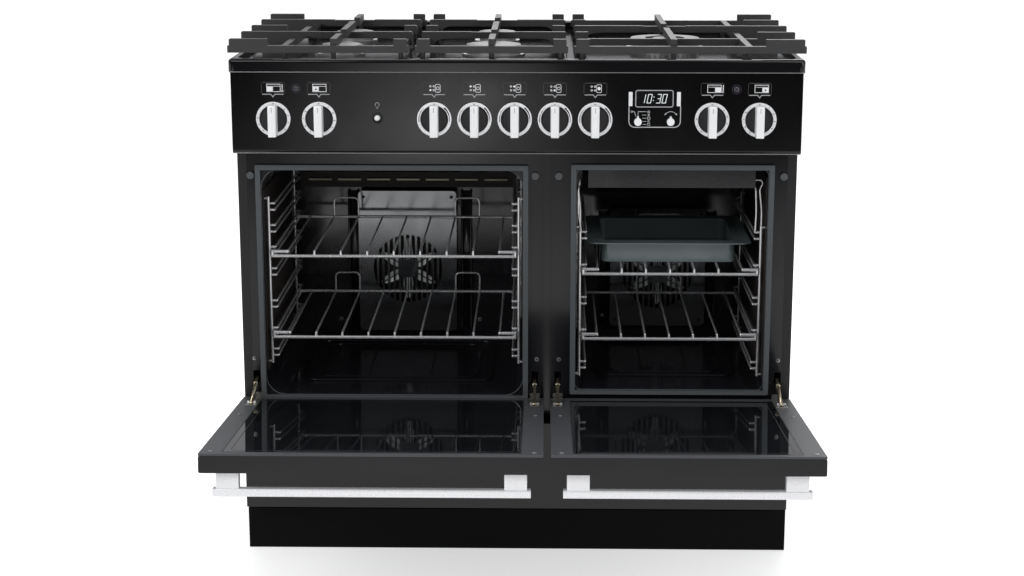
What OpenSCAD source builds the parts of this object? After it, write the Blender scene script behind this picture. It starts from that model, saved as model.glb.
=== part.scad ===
// Range cooker, 1000 mm wide: five-burner gas hob over a wide fan oven, a narrow fan oven and a
// storage drawer. X runs to the right, Y to the back, Z up. The origin lies on the floor, in the
// middle of the width, in the plane of the oven front frame. The doors are drawn closed and turned
// down to their open stop, which is the rest position.

/* [Body] */
// Width over the side panels
body_w = 994; // [900:1:1094]
// Depth from the oven front frame to the back
body_d = 566; // [520:1:620]
// Height of the underside of the side panels above the floor
base_z = 78; // [60:1:88]
// Thickness of the side panel sheet
side_t = 1.5; // [1:0.1:3]
// Width of the folded edges of the side panels
side_return = 16; // [12:0.5:18]
// Thickness of the oven front frame
frame_t = 2; // [1:0.1:3]
// Lower edge of the oven front frame
frame_z = 258; // [254:1:262]
// Radius of the lower front corner of the side panels
corner_r = 9; // [2:1:20]
// Width of the bright strip between the two doors
trim_w = 13; // [8:1:15]
// Middle of the strip between the two doors
trim_x = 54.5; // [53:0.5:56]
// Body width for which the places across the body are given
drawn_w = 994; // [980:1:1010]

/* [Plinth and feet] */
// Thickness of the plinth boards
plinth_t = 16; // [10:1:20]
// How far the plinth stands ahead of the front frame
plinth_front = 3; // [1:1:10]
// Diameter of the levelling feet
foot_d = 46; // [30:1:60]
// Distance of the middle of the feet from the sides of the body
foot_side = 52; // [47:1:110]
// Diameter of the foot studs
stud_d = 10; // [8:1:14]

/* [Wide oven] */
// Distance of the oven mouth from the left side of the body
left_margin = 41; // [37:1:47]
// Distance of the oven mouth from the middle of the strip between the doors
left_gap = 42.5; // [39:0.5:55]
// Lower edge of the oven mouth
left_z = 296; // [294:1:310]
// Height of the oven mouth
left_h = 416; // [408:1:424]
// Corner radius of the oven mouth
left_r = 35; // [12:1:40]

/* [Narrow oven] */
// Distance of the oven mouth from the middle of the strip between the doors
right_gap = 51.5; // [47.5:0.5:55.5]
// Distance of the oven mouth from the right side of the body
right_margin = 49; // [46:1:55]
// Lower edge of the oven mouth
right_z = 308; // [304:1:314]
// Height of the oven mouth
right_h = 406; // [400:1:412]
// Corner radius of the oven mouth
right_r = 12; // [4:1:16]

/* [Oven interior] */
// Depth of the cavities behind the front frame
oven_d = 420; // [400:1:440]
// Sheet thickness of the cavities
oven_t = 2; // [1:0.1:2.5]
// Width of the door gaskets
gasket_w = 9; // [6:0.5:10]
// Height of the gaskets ahead of the front frame
gasket_t = 9.5; // [7:0.1:9.7]
// Thickness of the side liners
liner_t = 1.5; // [1:0.1:2]
// Rod diameter of the shelf racks
rack_rod = 4.5; // [4:0.1:5]
// Distance between the two rungs that guide a shelf
rung_gap = 12; // [11.2:0.1:13]
// Distance from the cavity wall to the rungs
rack_reach = 19; // [17:0.5:20]
// Rod diameter of the shelf frames
shelf_rod = 6; // [5:0.1:6.2]
// Rod diameter of the shelf wires
shelf_wire = 4; // [3:0.1:5]
// How far the front bar of a shelf hangs below its side rods
shelf_drop = 8.5; // [7:0.5:9]
// Depth of the shelves
shelf_d = 334; // [300:1:345]
// Distance of the shelves behind the front frame
shelf_y = 16; // [14:1:18]
// Height of the guard hoops at the back of a shelf
hoop_h = 38; // [20:1:45]
// Width of the grill pan
pan_w = 300; // [260:1:310]
// Height of the grill pan
pan_h = 40; // [30:1:46]
// Distance between the fan covers and the back walls
fan_space = 32; // [30:1:40]
// Radius of the slotted part of the fan covers
fan_grille_r = 69; // [50:1:74]
// Radius of the fan wheels
fan_r = 58; // [40:1:64]
// Radius of the ring elements round the fans
ring_r = 80; // [75:1:84]

/* [Doors] */
// Lower edge of the doors when they are closed
door_z = 269; // [268.5:0.5:271]
// Height of the doors
door_h = 465; // [454:1:470]
// Thickness of the doors
door_t = 32; // [30:0.5:34]
// Gap between the closed doors and the front frame
door_gap = 10; // [10:0.1:11]
// Distance of the doors from the sides of the body
door_side = 0; // [0:0.5:3]
// Distance of the wide door from the middle of the strip between the doors
left_door_gap = 4.5; // [3.5:0.5:8]
// Distance of the narrow door from the middle of the strip between the doors
right_door_gap = 7; // [6.5:0.5:8.5]
// Angle of the doors at their open stop
open_deg = 84.8; // [80:0.1:88]
// Sheet thickness of the door shells
door_skin = 2; // [1:0.1:2.5]
// Thickness of the door panes
glass_t = 4; // [3:0.5:5]
// Width of the strips beside the inner panes
strip_w = 36; // [34:0.5:44]
// Depth of the handle bars
bar_t = 13; // [10:0.5:16]
// Height of the handle bars
bar_h = 18; // [14:0.5:22]
// Clear space behind the handle bars
bar_gap = 28; // [25:0.5:35]
// Width of the handle posts
post_w = 36; // [20:1:45]
// Distance of the handle bars from the door edges
bar_inset = 20; // [14:0.5:30]
// Distance of the handle bars below the upper door edge
bar_drop = 20; // [12:0.5:30]

/* [Door hinges] */
// Distance of the door pivots ahead of the front frame
pivot_y = 24; // [23.5:0.1:24.5]
// Height of the door pivots
pivot_z = 281; // [280.5:0.1:281.5]
// Diameter of the pivot pins
pivot_d = 7; // [5:0.1:8]
// Thickness of the hinge plates and arms
hinge_t = 5; // [4:0.1:5.4]
// Length of the hinge arms from their pin
arm_len = 82; // [76:1:84]
// Height of the hinge arms
arm_h = 8; // [6:0.1:9]
// Distance of the outer hinges from the sides of the body
hinge_side = 23; // [22:0.5:24]
// Distance of the inner hinge of the wide door from the middle of the strip
hinge_in_left = 21.2; // [21:0.1:22]
// Distance of the inner hinge of the narrow door from the middle of the strip
hinge_in_right = 20.7; // [20.5:0.1:21.5]
// Radial clearance of pins and shafts in their bores
run_gap = 0.05; // [0.02:0.01:0.09]
// Gap left where a loose piece rests on another
seat_gap = 0.3; // [0.2:0.05:0.5]

/* [Drawer] */
// Lower edge of the drawer front
drawer_z = 93; // [90:1:96]
// Height of the drawer front
drawer_h = 162; // [150:1:163]
// Thickness of the drawer front
drawer_t = 18; // [12:1:20]
// Distance of the drawer front from the sides of the body
drawer_side = 4; // [2:0.5:12]
// Distance of the drawer box from the sides of the body
tray_side = 32; // [22:1:57]
// Depth of the drawer box
tray_d = 460; // [400:1:500]
// Height of the drawer box
tray_h = 110; // [80:1:130]
// Sheet thickness of the drawer box
tray_t = 2; // [1:0.1:3]

/* [Control panel] */
// Lower edge of the control panel
panel_z = 748; // [744:1:752]
// Depth of the control panel ahead of the front frame
panel_d = 45; // [44:0.5:46]
// Sheet thickness of the control panel
panel_t = 2; // [1.5:0.1:2.5]
// Radius of the lower front edge of the control panel
panel_r = 6; // [3:0.5:10]
// Height of the knob centres
knob_z = 809; // [806:1:812]
// Diameter of the knob dials
dial_d = 60; // [54:0.5:62]
// Diameter of the knob bodies
knob_d = 50; // [44:0.5:52]
// Depth of the dials
dial_t = 6; // [4:0.5:8]
// Width of the knob bars
grip_w = 15.4; // [12:0.1:18]
// Length of the knob bars
grip_len = 56; // [50:0.5:60]
// How far the knob bars stand out
grip_t = 20; // [14:0.5:24]
// Diameter of the knob shafts
shaft_d = 8; // [6:0.1:9]
// Distance between the middles of the hob knobs
knob_pitch = 70; // [64:0.5:72]
// Place of the first hob knob
hob_knob_x = -142.6; // [-150:0.1:-140]
// Left edge of the clock bracket
clock_x = 195; // [190:0.5:200]
// Width of the clock bracket
clock_w = 90; // [88:0.5:95]
// Height of the middle of the clock window
clock_z = 845.5; // [843:0.5:847]
// Width of the clock window
window_w = 64; // [50:0.5:66]
// Height of the clock window
window_h = 28; // [20:0.5:30]
// Diameter of the clock knobs
clock_knob_d = 13; // [8:0.5:14]
// Diameter of the oven light button
button_d = 10; // [8:0.1:12]
// Travel of the oven light button
button_travel = 3; // [2:0.1:4]
// Place of the oven light button
button_x = -242; // [-250:1:-230]

/* [Hob] */
// How far the hob reaches past the sides of the body
hob_over = 3; // [2:0.5:8]
// Height of the hob top
hob_z = 914; // [905:1:930]
// Thickness of the hob edge
hob_t = 24; // [20:0.5:28]
// How far the hob reaches ahead of the front frame
hob_front = 51; // [48:0.5:56]
// Depth of the wells below the hob rim
well_depth = 8; // [5:0.5:10]
// Sheet thickness of the hob
hob_skin = 3; // [2:0.1:4]
// Diameter of the small burner caps
small_cap_d = 72; // [55:1:80]
// Diameter of the large burner cap
large_cap_d = 100; // [85:1:110]
// Diameter of the ring burner
wok_cap_d = 128; // [115:1:140]
// Depth of the front burners behind the front frame
burner_front_y = 105; // [100:1:110]
// Depth of the back burners behind the front frame
burner_back_y = 353; // [345:1:360]
// Place of the left burners
left_burner_x = -318; // [-325:1:-310]
// Place of the middle burners
centre_burner_x = -43; // [-48:1:-38]
// Place of the ring burner
right_burner_x = 273; // [262:1:300]

/* [Pan supports] */
// How far the pan supports reach past the sides of the body
support_over = 5; // [-2:0.5:9]
// Right end of the left pan support
support_split_left = -187; // [-192:0.5:-182]
// Left end of the right pan support
support_split_right = 101; // [96:0.5:106]
// Gap between two pan supports
support_gap = 11; // [6:0.5:14]
// Thickness of the cast bars
cast_t = 11; // [8:0.5:13]
// Height of the frame bars
cast_h = 12; // [9:0.5:15]
// Height of the ribs above the underside of the frame
rib_h = 24; // [20:0.5:28]
// Height of the underside of the pan supports above the hob rim
support_z = 9; // [6:0.5:12]
// Place of the front bar of the pan supports
support_front_y = -32; // [-34:0.5:-30]
// Place of the rear bar of the pan supports
support_back_y = 479; // [470:1:486]
// Length of the short end blocks
block_short = 23; // [16:0.5:30]
// Length of the long end blocks
block_long = 67; // [50:0.5:75]
// Free radius round the middle of a burner
burner_clear = 39; // [30:0.5:46]

/* [Hidden] */
$fn = 48;
eps = 0.01;
// Hairline between pieces that are fastened together
part_gap = 0.1;
// How much thicker the ball at a bend is than its rod or tube
bend_extra = 0.2;

// A place across the body, moved with the body width
function across(x) = x * body_w / drawn_w;

half_w = body_w / 2;
inner_half = half_w - side_t;
frame_half = half_w - side_return;
strip_x = across(trim_x);
hob_w = body_w + 2 * hob_over;
foot_x = half_w - foot_side;
hob_under = hob_z - hob_t;
well_z = hob_z - well_depth;
hob_edge_r = 7;
panel_face = -panel_d;

// Each oven: left edge, width, lower edge, height and corner radius of its mouth
left_x = -half_w + left_margin;
left_w = strip_x - left_gap - left_x;
right_x = strip_x + right_gap;
right_w = half_w - right_margin - right_x;
mouths = [
    [left_x, left_w, left_z, left_h, left_r],
    [right_x, right_w, right_z, right_h, right_r],
];
cavity_y = frame_t;
cavity_back = cavity_y + oven_d;
liner_margin = 6;
liner_y = 20;
liner_d = 370;

// Rung heights: the wide oven has uneven levels, the narrow one even ones
left_levels = [363, 403, 454, 514, 554, 594, 634];
right_first_level = 341.5;
right_level_pitch = 60.5;
right_levels = [for (i = [0:4]) right_first_level + right_level_pitch * i];
levels = [left_levels, right_levels];
rack_post_x = 8.2;
post_rod = rack_rod + 0.5;
shelf_reach = rack_post_x + (post_rod + shelf_rod) / 2 + seat_gap;
rack_y = 26;
rack_d = 350;
rack_top = 12;
rack_foot = 14;
shelf_lift = (rack_rod + shelf_rod) / 2 + seat_gap;
shelf_wires = [9, 7];

// Middle of each fan, and the plate in front of it
fan_x = [left_x + left_w / 2 - 2, right_x + right_w / 2];
fan_z = [446, 436];
cover_w = [196, 190];
cover_z = [318, 330];
cover_h = [286, 240];
cover_t = 2;
cover_y = cavity_back - fan_space;
vent_z = 612;
vent_h = 30;
vent_slots = 7;

hinge_out = half_w - hinge_side;
hinges = [[-hinge_out, strip_x - hinge_in_left], [strip_x + hinge_in_right, hinge_out]];
door_face = -door_gap - door_t;
door_inner = -door_gap;
arm_pin_y = -door_gap - 0.2;
arm_pin_z = 328.4;
arm_pin_d = 5;
arm_open_deg = 19.7;
arm_head = 60;
hinge_slot = hinge_t + 2;
hinge_slot_top = 340;
arm_slot_w = 12;
arm_slot_z = [317, 341];
hinge_eye_r = 7;
fork_r = 5;
fork_w = 16;
block_w = 22;

cap_d = [small_cap_d, small_cap_d, large_cap_d, small_cap_d, wok_cap_d];
burner_mid_y = (burner_front_y + burner_back_y) / 2;
left_burners = across(left_burner_x);
centre_burners = across(centre_burner_x);
ring_burner = across(right_burner_x);
burners = [
    [left_burners, burner_front_y],
    [left_burners, burner_back_y],
    [centre_burners, burner_front_y],
    [centre_burners, burner_back_y],
    [ring_burner, burner_mid_y],
];
flange_t = 3;
crown_z = well_z + flange_t;
crown_h = 12;
cap_z = crown_z + crown_h;
cap_t = 4;
cup_z = hob_under - 12;
cup_inset = 10;
crown_inset = 4;
flange_out = 14;

oven_knob_x = [across(-423.5), across(-343.4), across(340.3), across(422.1)];
hob_knobs = [for (i = [0:4]) across(hob_knob_x + knob_pitch * i)];
push_x = across(button_x);
dial_y = panel_face - seat_gap;
shaft_end = -8;
rail_y = 17;
rail_t = 16;
tap_w = 26;
tap_h = 28;
tap_y = panel_face + panel_t;
grip_sag = 2;
lamp_x = [across(-383), across(382)];
clock_left = across(clock_x);
lamp_z = 862;
clock_knob_x = [clock_left + 16.7, clock_left + clock_w - 16.4];
clock_knob_z = 805.6;

drawer_w = body_w - 2 * drawer_side;
tray_w = body_w - 2 * tray_side;
tray_y = door_face + drawer_t + part_gap;
tray_z = drawer_z + 8;

// Outlines

module rounded(w, h, r) {
    translate([r, 0])
        square([w - 2 * r, h]);
    translate([0, r])
        square([w, h - 2 * r]);
    for (x = [r, w - r], y = [r, h - r])
        translate([x, y])
            circle(r);
}

// A plate edge on: rounded above by r, and by 2 below
module edge_outline(w, h, r) {
    translate([2, 0])
        square([w - 4, h - r]);
    translate([0, 2])
        square([w, h - r - 2]);
    translate([r, 2])
        square([w - 2 * r, h - 2]);
    for (x = [2, w - 2])
        translate([x, 2])
            circle(2);
    for (x = [r, w - r])
        translate([x, h - r])
            circle(r);
}

// Placing: an outline in X and Z drawn out along Y, or one in Y and Z drawn out along X

module along_y(y, len) {
    translate([0, y + len, 0])
        rotate([90, 0, 0])
            linear_extrude(len)
                children();
}

module along_x(x, len) {
    translate([x, 0, 0])
        rotate([90, 0, 90])
            linear_extrude(len)
                children();
}

module rod_x(x, y, z, len, d) {
    translate([x, y, z])
        rotate([0, 90, 0])
            cylinder(d = d, h = len);
}

module rod_y(x, y, z, len, d) {
    translate([x, y, z])
        rotate([-90, 0, 0])
            cylinder(d = d, h = len);
}

module rod_z(x, y, z, len, d) {
    translate([x, y, z])
        cylinder(d = d, h = len);
}

module box(x, y, z, w, d, h) {
    translate([x, y, z])
        cube([w, d, h]);
}

// A piece of a door, turned from closed to the open stop
module opened() {
    translate([0, -pivot_y, pivot_z])
        rotate([open_deg, 0, 0])
            translate([0, pivot_y, -pivot_z])
                children();
}

module mouth(i, out = 0) {
    m = mouths[i];
    translate([m[0] - out, m[2] - out])
        rounded(m[1] + 2 * out, m[3] + 2 * out, m[4] + out);
}

// Body

base_plate_t = 2;
rail_w = 26;
rail_x = tray_w / 2 - rail_w;
bush_h = 20;
nut_h = 8;
anti_tip_x = across(180);
anti_tip_d = 8;
anti_tip_rise = 24;
foot_y = [60, body_d - 66];

module base_frame() {
    color("silver") {
        difference() {
            union() {
                box(-inner_half, frame_t, base_z, 2 * inner_half, back_y - frame_t, base_plate_t);
                for (x = [-foot_x, foot_x], y = foot_y)
                    rod_z(x, y, base_z - bush_h, bush_h, stud_d + 8);
                // Rear flange with the two holes of the stability chain
                box(-inner_half, back_y - base_plate_t, base_z, 2 * inner_half, base_plate_t, 40);
            }
            for (x = [-foot_x, foot_x], y = foot_y)
                rod_z(x, y, base_z - bush_h - eps, bush_h, stud_d + 2 * run_gap);
            for (x = [-anti_tip_x, anti_tip_x])
                rod_y(x, back_y - 10, base_z + anti_tip_rise, 12, anti_tip_d);
        }
        for (x = [-rail_x - rail_w, rail_x])
            box(x, 10, base_z + base_plate_t + part_gap, rail_w, tray_d,
                tray_z - base_z - base_plate_t - part_gap - seat_gap);
    }
}

module levelling_feet() {
    color("dimgray")
        for (x = [-foot_x, foot_x], y = foot_y) {
            rod_z(x, y, 0, 8, foot_d);
            rod_z(x, y, 8 - eps, base_z - 14 + eps, stud_d);
            translate([x, y, base_z - bush_h - nut_h])
                cylinder(d = 1.9 * stud_d, h = nut_h, $fn = 6);
        }
}

plinth_d = body_d - 46;

module plinth() {
    color("black")
        difference() {
            box(-half_w, -plinth_front, 0, body_w, plinth_d + plinth_front, base_z);
            box(-half_w + plinth_t, plinth_t - plinth_front, -1, body_w - 2 * plinth_t, body_d, base_z + 2);
        }
}

module side_sheet() {
    intersection() {
        linear_extrude(hob_under)
            difference() {
                translate([-half_w, 0])
                    square([side_return, body_d]);
                translate([-inner_half, side_t])
                    square([side_return, body_d - 2 * side_t]);
            }
        along_x(-half_w - 1, side_return + 2)
            union() {
                translate([corner_r, base_z])
                    square([body_d, hob_under]);
                translate([0, base_z + corner_r])
                    square([body_d, hob_under]);
                translate([corner_r, base_z + corner_r])
                    circle(corner_r);
            }
    }
}

module side_panels() {
    color("black") {
        side_sheet();
        mirror([1, 0, 0])
            side_sheet();
    }
}

louvre_w = across(90);
louvre_x = across(-380);
louvre_pitch = across(165);
louvre_h = 6;
louvre_rows = 5;
louvre_cols = 5;
inlet_x = half_w - 77;
inlet_z = 640;
inlet_hole_d = 34;
gland_x = -half_w + 117;
gland_z = 180;
gland_hole_d = 26;
back_y = body_d - side_t - 1.5;

module back_panel() {
    color("gainsboro")
        difference() {
            box(-inner_half, back_y, base_z + base_plate_t, 2 * inner_half, 1.5,
                hob_under - base_z - base_plate_t);
            for (col = [0:louvre_cols - 1], row = [0:louvre_rows - 1])
                box(louvre_x + louvre_pitch * col, back_y - 1, 770 + 18 * row, louvre_w, 4, louvre_h);
            rod_y(inlet_x, back_y - 1, inlet_z, 4, inlet_hole_d);
            rod_y(gland_x, back_y - 1, gland_z, 4, gland_hole_d);
            for (x = [-anti_tip_x, anti_tip_x])
                rod_y(x, back_y - 1, base_z + anti_tip_rise, 4, anti_tip_d);
        }
}

module front_frame() {
    color("black") {
        difference() {
            union() {
                box(-frame_half, 0, frame_z, 2 * frame_half, frame_t, panel_z - frame_z);
                box(-frame_half, 0, frame_z, 2 * frame_half, back_y, frame_t);
            }
            for (i = [0, 1])
                along_y(-1, frame_t + 2)
                    mouth(i);
            for (pair = hinges, x = pair)
                box(x - arm_slot_w / 2, -1, arm_slot_z[0], arm_slot_w, frame_t + 2,
                    arm_slot_z[1] - arm_slot_z[0]);
        }
        box(strip_x - trim_w / 2, -3 - part_gap, door_z + 3, trim_w, 3, panel_z - door_z - 3);
    }
}

element_d = 7;
leg_x = 20;
leg_rise = 2.5;

module cavity(i) {
    difference() {
        along_y(cavity_y, oven_d + oven_t)
            mouth(i, oven_t);
        along_y(cavity_y - 1, oven_d + 1)
            mouth(i);
        rod_y(fan_x[i], cavity_back - 1, fan_z[i], oven_t + 2, 12);
        for (s = [-1, 1])
            rod_y(fan_x[i] + s * leg_x, cavity_back - 1, fan_z[i] - ring_r + leg_rise, oven_t + 2,
                element_d + 1);
    }
}

module left_cavity() {
    color("black")
        cavity(0);
}

grill_z = right_z + right_h - 24;
grill_y = 60;
grill_d = 280;
grill_x = right_x + 40;
grill_pitch = (right_w - 80) / 5;
shield_y = 16;
shield_h = 36;
shield_side = 22;

module right_cavity() {
    color("black") {
        difference() {
            cavity(1);
            for (n = [0, 5])
                rod_y(grill_x + grill_pitch * n, cavity_back - 1, grill_z, oven_t + 2, element_d + 1);
        }
        // Heat shield ahead of the grill element, with a turned-in lip
        box(right_x + shield_side, shield_y, right_z + right_h - shield_h, right_w - 2 * shield_side,
            liner_t, shield_h + eps);
        box(right_x + shield_side, shield_y, right_z + right_h - shield_h, right_w - 2 * shield_side,
            8, liner_t);
    }
}

buffer_d = 13;
buffer_t = 7;
buffer_z = 702;

// How far the gaskets reach below the mouths, clear of the swing of the doors
gasket_low = [3, 7];

module gasket(i) {
    m = mouths[i];
    along_y(-gasket_t, gasket_t)
        difference() {
            translate([m[0] - gasket_w, m[2] - gasket_low[i]])
                rounded(m[1] + 2 * gasket_w, m[3] + gasket_w + gasket_low[i], 3);
            translate([m[0], m[2]])
                rounded(m[1], m[3], 2);
        }
}

module oven_seals() {
    color("slategray") {
        gasket(0);
        gasket(1);
        for (pair = hinges, x = pair)
            rod_y(x, -buffer_t, buffer_z, buffer_t, buffer_d);
    }
}

// Side racks: two posts and pairs of bent rungs, on the left wall of each oven and mirrored on the
// right. The shelves slide on the short ends between the posts and the long parts of the rungs

module rack(i) {
    x = mouths[i][0];
    low = levels[i][0] - rack_foot;
    high = levels[i][len(levels[i]) - 1] + rung_gap + rack_top;
    for (y = [rack_y, rack_y + rack_d]) {
        rod_z(x + rack_post_x, y, low, high - low, post_rod);
        for (z = [low + 3, high - 3])
            rod_x(x + liner_t, y, z, rack_post_x - liner_t, rack_rod);
    }
    for (z = levels[i], dz = [0, rung_gap]) {
        rod_y(x + rack_reach, rack_y, z + dz, rack_d, rack_rod);
        for (y = [rack_y, rack_y + rack_d]) {
            rod_x(x + rack_post_x, y, z + dz, rack_reach - rack_post_x, rack_rod);
            translate([x + rack_reach, y, z + dz])
                sphere(d = rack_rod + bend_extra);
        }
    }
}

module on_right_wall(i) {
    translate([2 * mouths[i][0] + mouths[i][1], 0, 0])
        mirror([1, 0, 0])
            children();
}

module side_racks() {
    color("gainsboro")
        for (i = [0, 1]) {
            rack(i);
            on_right_wall(i)
                rack(i);
        }
}

lens_d = 40;
lens_y = 300;
lens_z = 580;
hole_pitch = 20;
hole_d = 5;

module side_liner(i, lamp) {
    m = mouths[i];
    z = m[2] + m[4] + liner_margin;
    h = m[3] - 2 * (m[4] + liner_margin);
    difference() {
        box(m[0], liner_y, z, liner_t, liner_d, h);
        if (lamp)
            rod_x(m[0] - 1, lens_y, lens_z, 4, lens_d + 2);
        else
            for (n = [1:floor(h / hole_pitch) - 1])
                rod_x(m[0] - 1, liner_y + liner_d - 24, z + hole_pitch * n, 4, hole_d);
    }
}

module vent_strip(i) {
    m = mouths[i];
    pitch = (m[1] - 60) / vent_slots;
    along_y(cover_y, cover_t)
        difference() {
            translate([m[0] + 20, vent_z])
                square([m[1] - 40, vent_h]);
            for (n = [0:vent_slots - 1])
                translate([m[0] + 30 + pitch * n + 6, vent_z + vent_h / 2 - 4])
                    rounded(pitch - 12, 8, 3.9);
        }
    for (x = [m[0] + 26, m[0] + m[1] - 26])
        rod_y(x, cover_y + cover_t - eps, vent_z + vent_h / 2, fan_space - cover_t + eps, 8);
}

module oven_liners() {
    color("saddlebrown")
        for (i = [0, 1]) {
            side_liner(i, i == 1);
            on_right_wall(i)
                side_liner(i, i == 0);
            vent_strip(i);
        }
}

slot_pitch = 11;
slot_w = 6.5;
hub_w = 40;
hub_h = 36;

module fan_cover(i) {
    x = fan_x[i] - cover_w[i] / 2;
    difference() {
        along_y(cover_y, cover_t)
            difference() {
                translate([x, cover_z[i]])
                    rounded(cover_w[i], cover_h[i], 8);
                difference() {
                    for (n = [-6:6])
                        intersection() {
                            translate([fan_x[i], fan_z[i]])
                                circle(fan_grille_r);
                            translate([fan_x[i] + slot_pitch * n - slot_w / 2, fan_z[i] - fan_grille_r])
                                square([slot_w, 2 * fan_grille_r]);
                        }
                    translate([fan_x[i] - hub_w / 2, fan_z[i] - hub_h / 2])
                        square([hub_w, hub_h]);
                }
            }
    }
    for (sx = [x + 10, x + cover_w[i] - 10], z = [cover_z[i] + 12, cover_z[i] + cover_h[i] - 12])
        rod_y(sx, cover_y + cover_t - eps, z, fan_space - cover_t + eps, 8);
}

module fan_covers() {
    color("black")
        for (i = [0, 1])
            fan_cover(i);
}

// Ring elements round the fans and the looped grill element under the roof of the narrow oven

module ring_element(i) {
    y = cavity_back - 14;
    translate([fan_x[i], y, fan_z[i]])
        rotate([90, 0, 0])
            rotate_extrude()
                translate([ring_r, 0])
                    circle(d = element_d);
    for (s = [-1, 1])
        rod_y(fan_x[i] + s * leg_x, y, fan_z[i] - ring_r + leg_rise, cavity_back + 30 - y, element_d);
}

module grill_bend(x, y, turn) {
    translate([x, y, grill_z])
        rotate([0, 0, turn])
            rotate_extrude(angle = 180)
                translate([grill_pitch / 2, 0])
                    circle(d = element_d);
}

module grill_element() {
    for (n = [0:5])
        rod_y(grill_x + grill_pitch * n, grill_y, grill_z,
            (n == 0 || n == 5) ? cavity_back + 30 - grill_y : grill_d, element_d);
    for (n = [0, 2, 4])
        grill_bend(grill_x + grill_pitch * (n + 0.5), grill_y, 180);
    for (n = [1, 3])
        grill_bend(grill_x + grill_pitch * (n + 0.5), grill_y + grill_d, 0);
}

module heating_elements() {
    color("dimgray") {
        ring_element(0);
        ring_element(1);
        grill_element();
    }
}

motor_d = 74;
motor_len = 52;
fan_shaft_d = 6;

module fan_motors() {
    color("silver")
        for (i = [0, 1])
            difference() {
                union() {
                    rod_y(fan_x[i], cavity_back + oven_t, fan_z[i], motor_len, motor_d);
                    box(fan_x[i] - 48, cavity_back + oven_t, fan_z[i] - 12, 96, 3, 24);
                }
                rod_y(fan_x[i], cavity_back + oven_t - 1, fan_z[i], motor_len - 10,
                    fan_shaft_d + 2 * run_gap);
            }
}

module fan(i) {
    y = cover_y + cover_t + 5;
    rod_y(fan_x[i], y, fan_z[i], cavity_back + oven_t + motor_len - 14 - y, fan_shaft_d);
    rod_y(fan_x[i], y + 2, fan_z[i], 18, 20);
    rod_y(fan_x[i], y + 18, fan_z[i], 1.5, 2 * fan_r);
    for (n = [0:11])
        translate([fan_x[i], y + 4, fan_z[i]])
            rotate([0, 30 * n, 0])
                translate([fan_r - 22, 0, 0])
                    rotate([0, 25, 0])
                        cube([20, 15, 1.2]);
}

module left_fan() {
    color("silver")
        fan(0);
}

module right_fan() {
    color("silver")
        fan(1);
}

// Oven lamps sit in the two walls that face each other, indicator lamps in the control panel

module lamps() {
    color("lightyellow") {
        translate([left_x + left_w, lens_y, lens_z])
            rotate([0, -90, 0])
                cylinder(d = lens_d, h = 6);
        translate([right_x, lens_y, lens_z])
            rotate([0, 90, 0])
                cylinder(d = lens_d, h = 6);
        for (x = lamp_x) {
            rod_y(x, panel_face - 1, lamp_z, 5, 7.6);
            rod_y(x, panel_face + panel_t, lamp_z, 14, 12);
        }
    }
}

// Hinge brackets: a foot on the frame, the eye with the pivot pin, and the channel for the arm

channel_w = 18;
channel_d = 92;
channel_z = [312, 351];

module hinge_bracket(x) {
    box(x - 9, -2, frame_z + 4, 18, 2, pivot_z + 19 - frame_z - 4);
    rod_x(x - hinge_t / 2, -pivot_y, pivot_z, hinge_t, 2 * hinge_eye_r);
    box(x - hinge_t / 2, -pivot_y, pivot_z - hinge_eye_r, hinge_t, pivot_y - 1, 2 * hinge_eye_r);
    rod_x(x - block_w / 2, -pivot_y, pivot_z, block_w, pivot_d);
    difference() {
        box(x - channel_w / 2, frame_t, channel_z[0], channel_w, channel_d, channel_z[1] - channel_z[0]);
        box(x - channel_w / 2 + 2, frame_t - 1, channel_z[0] + 2, channel_w - 4, channel_d + 2,
            channel_z[1] - channel_z[0] - 4);
    }
}

module hinge_brackets() {
    color("silver")
        for (pair = hinges, x = pair)
            hinge_bracket(x);
}

// Hob

well_y = support_front_y - 8;
well_d = support_back_y + 20 - well_y;
rim_out = 14;
rim_half = 7;
split_left = across(support_split_left);
split_right = across(support_split_right);
rim_x = [split_left + support_gap / 2, split_right - support_gap / 2];
wells = [
    [-hob_w / 2 + rim_out, rim_x[0] - rim_half],
    [rim_x[0] + rim_half, rim_x[1] - rim_half],
    [rim_x[1] + rim_half, hob_w / 2 - rim_out],
];

module well_outline(out) {
    for (w = wells)
        translate([w[0] - out, well_y - out])
            rounded(w[1] - w[0] + 2 * out, well_d + 2 * out, 18 + out);
}

module hob_slab() {
    intersection() {
        translate([-hob_w / 2, -hob_front, hob_under])
            linear_extrude(hob_t)
                rounded(hob_w, body_d + hob_front, 10);
        along_x(-hob_w / 2, hob_w)
            translate([-hob_front, hob_under])
                edge_outline(body_d + hob_front, hob_t, hob_edge_r);
        along_y(-hob_front, body_d + hob_front)
            translate([-hob_w / 2, hob_under])
                edge_outline(hob_w, hob_t, hob_edge_r);
    }
}

module hob_top() {
    color("black")
        difference() {
            hob_slab();
            difference() {
                box(-hob_w / 2 + 10, -hob_front + 10, hob_under - 1, hob_w - 20, body_d + hob_front - 20,
                    hob_t - hob_skin + 1);
                translate([0, 0, well_z - hob_skin])
                    linear_extrude(hob_t)
                        well_outline(hob_skin);
            }
            translate([0, 0, well_z])
                linear_extrude(hob_t)
                    well_outline(0);
            for (i = [0:4])
                rod_z(burners[i][0], burners[i][1], hob_under, hob_t, cap_d[i] - cup_inset + 1);
        }
}

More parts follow.
